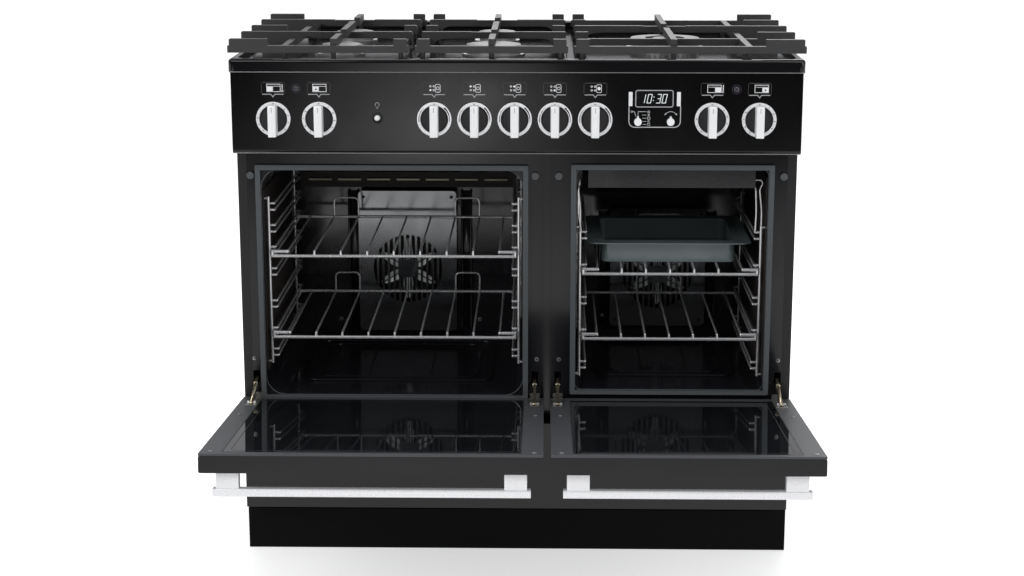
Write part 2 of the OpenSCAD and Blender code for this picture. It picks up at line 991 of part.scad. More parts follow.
module burner_cups() {
    color("silver")
        for (i = [0:4])
            translate([burners[i][0], burners[i][1], 0]) {
                rod_z(0, 0, well_z, flange_t, cap_d[i] + flange_out);
                rod_z(0, 0, cup_z, well_z - cup_z + eps, cap_d[i] - cup_inset);
                // Spark electrode and flame sensor
                for (turn = [30, 330])
                    rotate([0, 0, turn])
                        rod_z(cap_d[i] / 2 + 4, 0, crown_z + part_gap, 12, 4);
            }
}

// A toothed ring: radial gas ports cut through its upper part
module crown(d, inner, ports) {
    difference() {
        rod_z(0, 0, crown_z, crown_h, d);
        difference() {
            for (n = [0:ports - 1])
                rotate([0, 0, 180 / ports * n])
                    box(-d, -1.4, crown_z + 5, 2 * d, 2.8, crown_h - 7);
            rod_z(0, 0, crown_z, crown_h, d - 16);
        }
        if (inner > 0)
            rod_z(0, 0, crown_z - 1, crown_h + 2, inner);
    }
}

wok_inner_d = wok_cap_d - 54;
wok_centre_d = 42;

module burner_crowns() {
    color("silver") {
        for (i = [0:3])
            translate([burners[i][0], burners[i][1], 0])
                crown(cap_d[i] - crown_inset, 0, i == 2 ? 15 : 12);
        translate([burners[4][0], burners[4][1], 0]) {
            crown(wok_cap_d - crown_inset, wok_inner_d, 18);
            crown(wok_centre_d, 0, 8);
        }
    }
}

// A flat cap with a rounded edge and a shallow crown
module cap(d, t) {
    translate([0, 0, cap_z])
        rotate_extrude() {
            square([d / 2, t - 2]);
            square([d / 2 - 2, t]);
            translate([d / 2 - 2, t - 2])
                circle(2);
            polygon([[0, t - eps], [d / 2 - 4, t - eps], [d / 2 - 8, t + 1], [0, t + 2]]);
        }
}

module burner_caps() {
    color("gainsboro") {
        for (i = [0:3])
            translate([burners[i][0], burners[i][1], 0])
                cap(cap_d[i], cap_t);
        translate([burners[4][0], burners[4][1], 0]) {
            difference() {
                rod_z(0, 0, cap_z, cap_t, wok_cap_d);
                rod_z(0, 0, cap_z - 1, cap_t + 2, wok_inner_d);
            }
            cap(wok_centre_d + 4, cap_t);
        }
    }
}

vent_half = half_w - 67;
vent_wall = 2;
vent_pitch = across(52);
vent_y = body_d - 52;
vent_d = 40;
vent_rise = 14;

module rear_vent() {
    color("black")
        difference() {
            box(-vent_half, vent_y, hob_z, 2 * vent_half, vent_d, vent_rise);
            box(-vent_half + vent_wall, vent_y + vent_wall, hob_z - 1, 2 * (vent_half - vent_wall),
                vent_d - 2 * vent_wall, vent_rise - 1);
            for (n = [0:15])
                box(vent_pitch * (n - 8) + 6, vent_y + 8, hob_z, vent_pitch - 12, 8, vent_rise + 2);
        }
}

// Control panel

module panel_outline(in) {
    difference() {
        union() {
            translate([panel_face + in, panel_z + panel_r])
                square([panel_d, hob_under - panel_z - panel_r - in]);
            translate([panel_face + panel_r, panel_z + in])
                square([panel_d, hob_under - panel_z - 2 * in]);
            translate([panel_face + panel_r, panel_z + panel_r])
                circle(panel_r - in);
        }
        translate([0, panel_z - 1])
            square([panel_d, hob_under]);
    }
}

ring_d = 16;

module control_panel() {
    color("black")
        difference() {
            union() {
                difference() {
                    along_x(-half_w, body_w)
                        panel_outline(0);
                    along_x(-half_w + panel_t, body_w - 2 * panel_t)
                        union() {
                            panel_outline(panel_t);
                            translate([-panel_r, panel_z + panel_t])
                                square([2 * panel_r, hob_under - panel_z - 2 * panel_t]);
                        }
                }
                rod_y(push_x, panel_face - 1, knob_z + 2, 1 + eps, ring_d);
            }
            for (x = concat(oven_knob_x, hob_knobs))
                rod_y(x, panel_face - 1, knob_z, panel_t + 2, shaft_d + 4);
            rod_y(push_x, panel_face - 2, knob_z + 2, panel_t + 3, button_d + 0.8);
            for (x = lamp_x)
                rod_y(x, panel_face - 1, lamp_z, panel_t + 2, 8);
            box(clock_left + (clock_w - window_w) / 2, panel_face - 1, clock_z - window_h / 2,
                window_w, panel_t + 2, window_h);
            for (x = clock_knob_x)
                rod_y(x, panel_face - 1, clock_knob_z, panel_t + 2, 6.6);
        }
}

// Gas rail with five taps, one tube to each burner, the inlet, and the oven switches beside them

tube_d = 8;
tube_first_z = knob_z + tap_h / 2 + 5;
tube_levels = [2, 0, 3, 1, 4];
tube_step = 10;
lane_y = 30;

module gas_tube(i) {
    kx = hob_knobs[i];
    bx = burners[i][0];
    by = burners[i][1];
    z = tube_first_z + tube_step * tube_levels[i];
    y = lane_y + 14 * i;
    rod_z(kx, 0, knob_z + tap_h / 2 + part_gap, z - knob_z - tap_h / 2, tube_d);
    rod_y(kx, 0, z, y, tube_d);
    rod_x(min(kx, bx), y, z, abs(bx - kx), tube_d);
    rod_y(bx, y, z, by - y, tube_d);
    rod_z(bx, by, z, cup_z - z, tube_d);
    for (p = [[kx, 0], [kx, y], [bx, y], [bx, by]])
        translate([p[0], p[1], z])
            sphere(d = tube_d + bend_extra);
}

module tap(x) {
    difference() {
        box(x - tap_w / 2, tap_y, knob_z - tap_h / 2, tap_w, rail_y - part_gap - tap_y, tap_h);
        rod_y(x, tap_y - 1, knob_z, shaft_end - tap_y + 3, shaft_d + 2 * run_gap);
    }
}

switch_w = 44;
thread_d = 20.6;
inlet_bore_d = 15;
rail_end = inlet_x + 12;
rail_start = hob_knobs[0] - 27.4;
feed_d = 15;
elbow_d = 26;
inlet_y = back_y - 30;

module gas_rail() {
    color("silver") {
        difference() {
            union() {
                box(rail_start, rail_y, knob_z - rail_t / 2, rail_end - rail_start, rail_t, rail_t);
                rod_y(inlet_x, rail_y + rail_t - eps, knob_z, inlet_y - rail_y - rail_t, feed_d);
                translate([inlet_x, inlet_y, knob_z])
                    sphere(d = feed_d + bend_extra);
                rod_z(inlet_x, inlet_y, inlet_z, knob_z - inlet_z, feed_d);
                translate([inlet_x, inlet_y, inlet_z])
                    sphere(d = elbow_d);
                rod_y(inlet_x, inlet_y, inlet_z, 50, thread_d);
                rod_y(inlet_x, back_y - 4, inlet_z, 4, inlet_hole_d + 12);
            }
            rod_y(inlet_x, back_y - 12, inlet_z, 40, inlet_bore_d);
        }
        for (i = [0:4]) {
            tap(hob_knobs[i]);
            gas_tube(i);
        }
        for (x = oven_knob_x)
            difference() {
                box(x - switch_w / 2, tap_y, knob_z - switch_w / 2, switch_w, switch_w, switch_w);
                rod_y(x, tap_y - 1, knob_z, shaft_end - tap_y + 3, shaft_d + 2 * run_gap);
            }
        difference() {
            box(push_x - 12, panel_face + panel_t, knob_z - 14, 24, 30, 32);
            rod_y(push_x, panel_face, knob_z + 2, panel_t + 10 + button_travel + 4, button_d + 0.8);
        }
    }
}

module clock_module() {
    color("black") {
        difference() {
            box(clock_left - 2, panel_face + panel_t, clock_knob_z - 14, clock_w + 4, 26,
                clock_z + window_h / 2 + 4 - clock_knob_z + 14);
            for (x = clock_knob_x)
                rod_y(x, panel_face, clock_knob_z, 16, 4 + 2 * run_gap);
        }
    }
    color("darkslategray")
        box(clock_left + (clock_w - window_w) / 2 + 0.2, panel_face + 0.2, clock_z - window_h / 2 + 0.2,
            window_w - 0.4, panel_t - 0.2 - part_gap, window_h - 0.4);
}

gland_d = 24;
cable_d = 11;
box_w = 120;
box_h = 90;
box_d = 40;

module terminal_box() {
    color("gainsboro")
        difference() {
            union() {
                box(gland_x - 30, back_y - box_d, gland_z - 30, box_w, box_d, box_h);
                rod_y(gland_x, back_y - 4, gland_z, 20, gland_d);
            }
            box(gland_x - 28, back_y - box_d + 2, gland_z - 28, box_w - 4, box_d - 4, box_h - 4);
            rod_y(gland_x, back_y - 6, gland_z, 24, cable_d);
        }
}

// Doors, drawn closed

door_x = [-half_w + door_side, strip_x + right_door_gap];
door_w = [strip_x - left_door_gap - door_x[0], half_w - door_side - door_x[1]];
sight_side = [108.5, 102.75];
sight_w = [for (i = [0, 1]) door_w[i] - 2 * sight_side[i]];
sight_h = 230;
sight_z = door_z + 130;
rail_low = 24;
rail_high = 12;
block_top = hinge_slot_top + 8;

module hinge_slots(i) {
    for (x = hinges[i])
        box(x - hinge_slot / 2, door_inner - 23, door_z - 1, hinge_slot, 30, hinge_slot_top - door_z + 1);
}

module door_shell(i) {
    x = door_x[i];
    w = door_w[i];
    difference() {
        translate([x, 0, door_z])
            linear_extrude(door_h)
                translate([0, door_face])
                    rounded(w, door_t - glass_t, 3);
        box(x + door_skin, door_face + door_skin, door_z + door_skin, w - 2 * door_skin, door_t,
            door_h - 2 * door_skin);
        along_y(door_face - 1, door_skin + 2)
            translate([x + (w - sight_w[i]) / 2, sight_z])
                rounded(sight_w[i], sight_h, 12);
        hinge_slots(i);
    }
}

module pane_outline(i, out) {
    translate([door_x[i] + strip_w - out, door_z + rail_low - out])
        square([door_w[i] - 2 * strip_w + 2 * out, door_h - rail_low - rail_high + 2 * out]);
}

module door_glass(i) {
    along_y(door_inner - glass_t, glass_t)
        pane_outline(i, 0);
    along_y(door_face + door_skin, glass_t)
        translate([door_x[i] + (door_w[i] - sight_w[i]) / 2 - 14, sight_z - 14])
            square([sight_w[i] + 28, sight_h + 28]);
}

module door_liner(i) {
    difference() {
        along_y(door_inner - glass_t, glass_t)
            difference() {
                translate([door_x[i], door_z])
                    square([door_w[i], door_h]);
                pane_outline(i, 0);
            }
        for (x = hinges[i])
            box(x - block_w / 2, door_inner - glass_t - 1, door_z - 1, block_w, glass_t + 2,
                block_top - door_z + 1);
    }
}

// Hinge bodies in the lower door corners: bores for the pivot pins and ears for the arm pins
module door_hinges(i) {
    for (x = hinges[i])
        difference() {
            union() {
                box(x - block_w / 2, door_inner - 24, door_z + door_skin, block_w, 24,
                    block_top - door_z - door_skin);
                rod_x(x - fork_w / 2, arm_pin_y, arm_pin_z, fork_w, 2 * fork_r);
            }
            box(x - hinge_slot / 2, door_inner - 23, door_z - 1, hinge_slot, 40,
                hinge_slot_top - door_z + 1);
            rod_x(x - block_w, -pivot_y, pivot_z, 2 * block_w, pivot_d + 2 * run_gap);
            rod_x(x - block_w, arm_pin_y, arm_pin_z, 2 * block_w, arm_pin_d + 2 * run_gap);
        }
}

module handle(i) {
    x = door_x[i] + bar_inset;
    w = door_w[i] - 2 * bar_inset;
    z = door_z + door_h - bar_drop - bar_h / 2;
    along_x(x, w)
        translate([door_face - bar_gap - bar_t, z])
            rounded(bar_t, bar_h, 3);
    for (px = [x + 6, x + w - 6 - post_w])
        box(px, door_face - bar_gap + part_gap, z + 1, post_w, bar_gap - part_gap, bar_h - 2);
}

module left_door_shell() {
    color("black")
        opened()
            door_shell(0);
}

module left_door_glass() {
    color([0.1, 0.14, 0.16, 0.6])
        opened()
            door_glass(0);
}

module left_door_liner() {
    color("dimgray")
        opened()
            door_liner(0);
}

module left_door_hinges() {
    color("silver")
        opened()
            door_hinges(0);
}

module left_handle() {
    color("white")
        opened()
            handle(0);
}

module right_door_shell() {
    color("black")
        opened()
            door_shell(1);
}

module right_door_glass() {
    color([0.1, 0.14, 0.16, 0.6])
        opened()
            door_glass(1);
}

module right_door_liner() {
    color("dimgray")
        opened()
            door_liner(1);
}

module right_door_hinges() {
    color("silver")
        opened()
            door_hinges(1);
}

module right_handle() {
    color("white")
        opened()
            handle(1);
}

// Hinge arms, drawn level as on a closed door, turned down with the door and swung back on it

module hinge_arm(x) {
    rod_x(x - hinge_t / 2, arm_pin_y, arm_pin_z, hinge_t, arm_h);
    box(x - hinge_t / 2, arm_pin_y, arm_pin_z - arm_h / 2, hinge_t, arm_len - arm_h / 2, arm_h);
    rod_x(x - hinge_t / 2, arm_pin_y + arm_len - arm_h / 2, arm_pin_z, hinge_t, arm_h);
    rod_x(x - hinge_t / 2 - 1, arm_pin_y + arm_head, arm_pin_z, hinge_t + 2, arm_h + 2);
    rod_x(x - fork_w / 2, arm_pin_y, arm_pin_z, fork_w, arm_pin_d);
}

module hinge_arms(i) {
    swing = arm_open_deg - open_deg;
    opened()
        translate([0, arm_pin_y, arm_pin_z])
            rotate([swing, 0, 0])
                translate([0, -arm_pin_y, -arm_pin_z])
                    for (x = hinges[i])
                        hinge_arm(x);
}

module left_hinge_arms() {
    color("goldenrod")
        hinge_arms(0);
}

module right_hinge_arms() {
    color("goldenrod")
        hinge_arms(1);
}

// Drawer: a plain front with a finger lip behind its upper edge, and an open tray

module drawer() {
    color("black")
        difference() {
            box(-drawer_w / 2, door_face, drawer_z, drawer_w, drawer_t, drawer_h);
            box(-drawer_w / 2 + 60, door_face + 4, drawer_z + drawer_h - 26, drawer_w - 120, drawer_t, 18);
        }
    color("dimgray")
        difference() {
            box(-tray_w / 2, tray_y, tray_z, tray_w, tray_d, tray_h);
            box(-tray_w / 2 + tray_t, tray_y + tray_t, tray_z + tray_t, tray_w - 2 * tray_t,
                tray_d - 2 * tray_t, tray_h);
        }
}

// Knobs: a bright dial ring, a dark body with its shaft, and a bar across it

module knob(x) {
    color("gainsboro")
        along_y(dial_y - dial_t + 1.5, dial_t - 1.5)
            translate([x, knob_z])
                difference() {
                    circle(d = dial_d);
                    circle(d = knob_d + 0.2);
                }
    color("dimgray") {
        rod_y(x, dial_y - dial_t, knob_z, dial_t, knob_d);
        rod_y(x, dial_y, knob_z, shaft_end - dial_y, shaft_d);
    }
    color("white")
        box(x - grip_w / 2, dial_y - dial_t - grip_t, knob_z - grip_len / 2 - grip_sag,
            grip_w, grip_t - part_gap, grip_len);
}

module left_mode_knob() {
    knob(oven_knob_x[0]);
}

module left_heat_knob() {
    knob(oven_knob_x[1]);
}

module hob_knob_1() {
    knob(hob_knobs[0]);
}

module hob_knob_2() {
    knob(hob_knobs[1]);
}

module hob_knob_3() {
    knob(hob_knobs[2]);
}

module hob_knob_4() {
    knob(hob_knobs[3]);
}

module hob_knob_5() {
    knob(hob_knobs[4]);
}

module right_mode_knob() {
    knob(oven_knob_x[2]);
}

module right_heat_knob() {
    knob(oven_knob_x[3]);
}

module clock_knob(x) {
    rod_y(x, panel_face - 8, clock_knob_z, 8 - seat_gap, clock_knob_d);
    box(x - 1.5, panel_face - 8, clock_knob_z, 3, 8 - seat_gap, clock_knob_d / 2 + 3);
    rod_y(x, panel_face - 1, clock_knob_z, 15, 4);
}

module clock_select_knob() {
    color("silver")
        clock_knob(clock_knob_x[0]);
}

module clock_set_knob() {
    color("silver")
        clock_knob(clock_knob_x[1]);
}

module light_button() {
    color("silver") {
        rod_y(push_x, panel_face - 4, knob_z + 2, 16, button_d);
        translate([push_x, panel_face - 4, knob_z + 2])
            intersection() {
                sphere(d = button_d);
                rotate([90, 0, 0])
                    cylinder(d = button_d, h = button_d);
            }
    }
}

// Shelves: a frame of thick rods, thin wires from front to back, and guard hoops behind

hoop_r = 9;
hoop_rod = shelf_wire - 0.4;
hoop_wires = [[[2, 3], [7, 8]], [[3, 5]]];

module ball(x, y, z, d) {
    translate([x, y, z])
        sphere(d = d + bend_extra);
}

module hoop_bend(x, y, z, turn) {
    translate([x, y, z])
        rotate([90, turn, 0])
            rotate_extrude(angle = 90)
                translate([hoop_r, 0])
                    circle(d = hoop_rod);
}

// A hoop on two wires, with rounded upper corners
module hoop(x0, x1, y, z) {
    rod_z(x0, y, z, hoop_h - hoop_r, hoop_rod);
    rod_z(x1, y, z, hoop_h - hoop_r, hoop_rod);
    hoop_bend(x0 + hoop_r, y, z + hoop_h - hoop_r, -90);
    hoop_bend(x1 - hoop_r, y, z + hoop_h - hoop_r, 0);
    rod_x(x0 + hoop_r, y, z + hoop_h, x1 - x0 - 2 * hoop_r, hoop_rod);
}

module shelf(i, level) {
    m = mouths[i];
    x0 = m[0] + shelf_reach;
    x1 = m[0] + m[1] - shelf_reach;
    z = level + shelf_lift;
    bar_z = z - shelf_drop;
    count = shelf_wires[i];
    pitch = (x1 - x0) / (count + 0.2);
    wire_x = [for (n = [0:count]) x0 + pitch * (n - 0.4)];
    for (x = [x0, x1]) {
        rod_y(x, shelf_y, z, shelf_d, shelf_rod);
        rod_z(x, shelf_y, bar_z, shelf_drop, shelf_rod);
        ball(x, shelf_y, z, shelf_rod);
        ball(x, shelf_y, bar_z, shelf_rod);
        ball(x, shelf_y + shelf_d, z, shelf_rod);
    }
    rod_x(x0, shelf_y, bar_z, x1 - x0, shelf_rod);
    rod_x(x0, shelf_y + shelf_d, z, x1 - x0, shelf_rod);
    rod_x(x0, shelf_y, z, wire_x[1] - x0, shelf_rod);
    rod_x(wire_x[count], shelf_y, z, x1 - wire_x[count], shelf_rod);
    ball(wire_x[1], shelf_y, z, shelf_rod);
    ball(wire_x[count], shelf_y, z, shelf_rod);
    for (n = [1:count])
        rod_y(wire_x[n], shelf_y, z, shelf_d, shelf_wire);
    for (n = [2:count - 1]) {
        rod_z(wire_x[n], shelf_y, bar_z, shelf_drop, shelf_wire);
        ball(wire_x[n], shelf_y, z, shelf_wire);
    }
    for (h = hoop_wires[i])
        hoop(wire_x[h[0]], wire_x[h[1]], shelf_y + shelf_d, z);
}

module left_upper_shelf() {
    color("gainsboro")
        shelf(0, left_levels[4]);
}

module left_lower_shelf() {
    color("gainsboro")
        shelf(0, left_levels[1]);
}

module right_upper_shelf() {
    color("gainsboro")
        shelf(1, right_levels[3]);
}

module right_lower_shelf() {
    color("gainsboro")
        shelf(1, right_levels[1]);
}

pan_d = 270;
pan_y = 44;
pan_t = 1.5;
pan_lip = 28;
pan_x = right_x + (right_w - pan_w) / 2;
pan_z = right_levels[3] + shelf_lift + shelf_wire / 2 + seat_gap;

module grill_pan() {
    color("black")
        difference() {
            union() {
                translate([pan_x + pan_lip, pan_y + pan_lip, pan_z])
                    linear_extrude(pan_h)
                        rounded(pan_w - 2 * pan_lip, pan_d - 2 * pan_lip, 14);
                translate([pan_x, pan_y, pan_z + pan_h - pan_t])
                    linear_extrude(pan_t)
                        rounded(pan_w, pan_d, 20);
            }
            translate([pan_x + pan_lip + pan_t, pan_y + pan_lip + pan_t, pan_z + pan_t])
                linear_extrude(pan_h)
                    rounded(pan_w - 2 * pan_lip - 2 * pan_t, pan_d - 2 * pan_lip - 2 * pan_t, 12.5);
        }
}

// Pan supports: a frame of cast bars, end blocks on the bars and long fingers towards the burners

support_low = hob_z + support_z;
finger_root = 15;
finger_tip = 6;
fillet_r = 9;
foot_near = 13.5;
foot_far = 98;

// The outline of one rib from its outer end: a block, then a tapering finger of the given reach
module rib_outline(block, reach) {
    translate([2, 0])
        square([block - 2, rib_h]);
    square([block, rib_h - 2]);
    translate([2, rib_h - 2])
        circle(2);
    if (reach > block) {
        polygon([
            [block - 1, rib_h],
            [reach, rib_h],
            [reach, rib_h - finger_tip],
            [block - 1, rib_h - finger_root],
        ]);
        difference() {
            translate([block - eps, rib_h - finger_root - fillet_r + 1])
                square(fillet_r);
            translate([block + fillet_r, rib_h - finger_root - fillet_r])
                circle(fillet_r);
        }
    } else
        difference() {
            translate([block - eps, 0])
                square(fillet_r);
            translate([block + fillet_r, fillet_r])
                circle(fillet_r);
        }
}

module rib_left(x, y, block, reach) {
    translate([x, 0, support_low])
        along_y(y - cast_t / 2, cast_t)
            rib_outline(block, reach);
}

module rib_right(x, y, block, reach) {
    translate([x, 0, support_low])
        mirror([1, 0, 0])
            along_y(y - cast_t / 2, cast_t)
                rib_outline(block, reach);
}

// A rib along Y above the middle of the burners
module long_rib(x, y0, y1) {
    box(x - cast_t / 2, y0, support_low + rib_h - finger_root, cast_t, y1 - y0, finger_root);
}

module support_foot(x, y) {
    rod_z(x, y, well_z + seat_gap, support_low - well_z - seat_gap + 1, 9);
}

module pan_support(x0, x1, cx, ys, blocks, insets) {
    ends = [support_front_y, burner_front_y, burner_mid_y, burner_back_y, support_back_y];
    half = cast_t / 2;
    rails = [x0 + insets[0], x1 - insets[1]];
    for (y = [support_front_y, support_back_y])
        box(x0, y - half, support_low, x1 - x0, cast_t, cast_h);
    for (x = rails)
        box(x - half, support_front_y, support_low, cast_t, support_back_y - support_front_y, cast_h);
    for (y = ends) {
        fingers = len(search(y, ys)) > 0;
        rib_left(x0 + 3, y, blocks[0], fingers ? cx - burner_clear - x0 - 3 : 0);
        rib_right(x1 - 3, y, blocks[1], fingers ? x1 - 3 - cx - burner_clear : 0);
        if (fingers) {
            box(x0 + 8, y - half, support_low, insets[0] - 8 + half, cast_t, cast_h);
            box(rails[1] - half, y - half, support_low, insets[1] - 8 + half, cast_t, cast_h);
        } else
            box(x0 + 8, y - half, support_low, x1 - x0 - 16, cast_t, cast_h);
    }
    starts = concat([support_front_y], [for (y = ys) y + burner_clear]);
    stops = concat([for (y = ys) y - burner_clear], [support_back_y]);
    for (n = [0:len(starts) - 1])
        long_rib(cx, starts[n], stops[n]);
    for (x = [rails[0], cx, rails[1]], y = [support_front_y, support_back_y])
        support_foot(x, y);
}

support_out = half_w + support_over;

module left_pan_support() {
    color("dimgray")
        pan_support(-support_out, split_left, left_burners,
            [burner_front_y, burner_back_y], [block_long, block_short], [foot_far, foot_near]);
}

module centre_pan_support() {
    color("dimgray")
        pan_support(split_left + support_gap, split_right - support_gap,
            centre_burners, [burner_front_y, burner_back_y],
            [block_short, block_short], [foot_near, foot_near]);
}

module right_pan_support() {
    color("dimgray")
        pan_support(split_right, support_out, ring_burner, [burner_mid_y],
            [block_short, block_long], [foot_near, foot_far]);
}

base_frame();
levelling_feet();
plinth();
side_panels();
back_panel();
front_frame();
left_cavity();
right_cavity();
oven_seals();
side_racks();
oven_liners();
fan_covers();
heating_elements();
fan_motors();
lamps();
hinge_brackets();
hob_top();
burner_cups();
burner_crowns();
burner_caps();
control_panel();
gas_rail();
clock_module();
rear_vent();
terminal_box();
left_door_shell();
left_door_glass();
left_door_liner();
left_door_hinges();
left_handle();
right_door_shell();
right_door_glass();
right_door_liner();
right_door_hinges();
right_handle();
left_hinge_arms();
right_hinge_arms();
drawer();
left_mode_knob();
left_heat_knob();
hob_knob_1();
hob_knob_2();
hob_knob_3();
hob_knob_4();
hob_knob_5();
right_mode_knob();
right_heat_knob();
clock_select_knob();
clock_set_knob();
light_button();
left_fan();
right_fan();
left_upper_shelf();
left_lower_shelf();
right_upper_shelf();
right_lower_shelf();
grill_pan();
left_pan_support();
centre_pan_support();
right_pan_support();
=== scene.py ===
from math import cos, pi, radians, sin, tau

import bmesh
import bpy
from mathutils import Matrix, Vector


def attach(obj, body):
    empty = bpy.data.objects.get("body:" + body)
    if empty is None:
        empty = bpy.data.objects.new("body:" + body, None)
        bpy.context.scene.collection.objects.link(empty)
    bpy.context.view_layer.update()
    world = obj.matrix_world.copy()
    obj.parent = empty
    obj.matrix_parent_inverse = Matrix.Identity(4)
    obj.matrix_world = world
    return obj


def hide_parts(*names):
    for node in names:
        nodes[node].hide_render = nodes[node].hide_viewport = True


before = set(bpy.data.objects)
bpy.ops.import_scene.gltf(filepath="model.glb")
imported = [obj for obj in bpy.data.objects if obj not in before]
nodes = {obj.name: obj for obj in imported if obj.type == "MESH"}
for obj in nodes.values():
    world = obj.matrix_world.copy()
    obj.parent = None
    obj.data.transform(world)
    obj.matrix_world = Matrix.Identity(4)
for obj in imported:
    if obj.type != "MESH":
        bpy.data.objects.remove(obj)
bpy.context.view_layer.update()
scene = bpy.context.scene
mm = 0.001

print("frame loaded:", len(nodes), "nodes")


# Nodes for the studio and the finishes

class Board:
    # Places nodes in one tree; an input takes a value or the socket that feeds it
    def __init__(self, tree):
        self.tree = tree

    def feed(self, node, label, value):
        socket = node.inputs[label]
        if isinstance(value, bpy.types.NodeSocket):
            self.tree.links.new(value, socket)
        else:
            socket.default_value = (*value, 1) if socket.type == "RGBA" else value

    def add(self, kind, inputs={}, **settings):
        node = self.tree.nodes.new("ShaderNode" + kind)
        for label, value in settings.items():
            setattr(node, label, value)
        for label, value in inputs.items():
            self.feed(node, label, value)
        return node

    def math(self, operation, first, second):
        return self.add("Math", {0: first, 1: second}, operation=operation).outputs[0]

    def span(self, value, low, high, start=0, stop=1, way="LINEAR"):
        inputs = {"Value": value, "From Min": low, "From Max": high, "To Min": start, "To Max": stop}
        return self.add("MapRange", inputs, interpolation_type=way).outputs["Result"]

    def fade(self, value, low, high, start=0, stop=1):
        return self.span(value, low, high, start, stop, "SMOOTHSTEP")

    def mix(self, mask, first, second):
        inputs = {"Factor": mask, "A": first, "B": second}
        return self.add("Mix", inputs, data_type="RGBA").outputs["Result"]

    def blend(self, mask, first, second):
        return self.add("MixShader", {"Fac": mask, 1: first, 2: second}).outputs[0]


def blankBoard(owner):
    owner.use_nodes = True
    owner.node_tree.nodes.clear()
    return Board(owner.node_tree)


# Camera, world, floor and lamps

viewSettings = {
    "place": (0.051, -3.316, 1.265),
    "pitch": 13.04,
    "yaw": -1.02,
    "lens": 66.4,
    "sensor": 36.0,
    "reach": 60,
}


def makeCamera():
    s = viewSettings
    data = bpy.data.cameras.new("camera")
    data.lens = s["lens"]
    data.sensor_width = s["sensor"]
    data.clip_end = s["reach"]
    camera = bpy.data.objects.new("camera", data)
    camera.location = s["place"]
    camera.rotation_euler = (radians(90 - s["pitch"]), 0, radians(-s["yaw"]))
    scene.collection.objects.link(camera)
    scene.camera = camera


worldSettings = {
    "light": (0.86, 0.87, 0.9),
    "strength": 0.8,
    "front": (0.05, 0.05, 0.052),
    "back": (0.4, 0.4, 0.41),
    "backFade": (-0.5, 0.6),
    "top": (0.45, 0.45, 0.47),
    "topFade": (0.45, 0.95),
}


def makeWorld():
    s = worldSettings
    world = bpy.data.worlds.new("studio")
    scene.world = world
    board = blankBoard(world)
    rays = board.add("LightPath").outputs
    lit = board.add("Background", {"Color": s["light"], "Strength": s["strength"]})
    white = board.add("Background", {"Color": (1, 1, 1), "Strength": 1.0})
    # Reflections see a studio that is pale behind the cooker and dim in front of it
    aim = board.add("SeparateXYZ", {0: board.add("TexCoord").outputs["Generated"]}).outputs
    sides = board.mix(board.fade(aim["Y"], *s["backFade"]), s["front"], s["back"])
    ceiling = board.mix(board.fade(aim["Z"], *s["topFade"]), sides, s["top"])
    shine = board.add("Background", {"Color": ceiling})
    seen = board.math("MAXIMUM", rays["Is Camera Ray"], rays["Is Transmission Ray"])
    glossy = board.blend(rays["Is Glossy Ray"], lit.outputs[0], shine.outputs[0])
    board.add("OutputWorld", {"Surface": board.blend(seen, glossy, white.outputs[0])})


floorSettings = {
    "size": 40.0,
    "height": -0.0005,
    "color": (0.7, 0.7, 0.7),
    "bounce": (0.86, 0.86, 0.86),
    "glow": 0.58,
    "near": -2.2,
    "far": -5.2,
    "nearShine": 0.85,
    "farShine": 0.05,
    "patch": (-0.5, -6.4, 0),
    "patchScale": (1.05, 0.28, 1),
    "patchEdge": (0.15, 0.95),
    "patchShine": 2.4,
}


def makeFloor():
    s = floorSettings
    bm = bmesh.new()
    bmesh.ops.create_grid(bm, x_segments=1, y_segments=1, size=s["size"] / 2)
    bmesh.ops.translate(bm, verts=bm.verts, vec=(0, 0, s["height"]))
    mesh = bpy.data.meshes.new("studioFloor")
    bm.to_mesh(mesh)
    bm.free()
    floor = bpy.data.objects.new("studioFloor", mesh)
    scene.collection.objects.link(floor)
    material = bpy.data.materials.new("studioFloor")
    board = blankBoard(material)
    rays = board.add("LightPath").outputs
    place = board.add("TexCoord").outputs["Object"]

    # The camera sees white that keeps the shadow; other rays meet a plain white floor
    shaded = board.add("BsdfDiffuse", {"Color": s["color"]})
    glow = board.add("Emission", {"Strength": s["glow"]})
    white = board.add("AddShader", {0: shaded.outputs[0], 1: glow.outputs[0]})
    bounce = board.add("BsdfDiffuse", {"Color": s["bounce"]})

    # Reflections see the floor fade into a dim studio, with one soft lit patch far in front
    depth = board.add("SeparateXYZ", {0: place}).outputs["Y"]
    fade = board.fade(depth, s["far"], s["near"], s["farShine"], s["nearShine"])
    swing = board.add("VectorMath", {0: place, 1: s["patch"]}, operation="SUBTRACT")
    shrink = board.add("VectorMath", {0: swing.outputs[0], 1: s["patchScale"]}, operation="MULTIPLY")
    reach = board.add("VectorMath", {0: shrink.outputs[0]}, operation="LENGTH").outputs["Value"]
    patch = board.fade(reach, *s["patchEdge"], s["patchShine"], 0)
    shine = board.add("Emission", {"Strength": board.math("MAXIMUM", fade, patch)})

    seen = board.math("MAXIMUM", rays["Is Camera Ray"], rays["Is Transmission Ray"])
    other = board.blend(rays["Is Glossy Ray"], bounce.outputs[0], shine.outputs[0])
    board.add("OutputMaterial", {"Surface": board.blend(seen, other, white.outputs[0])})
    mesh.materials.append(material)


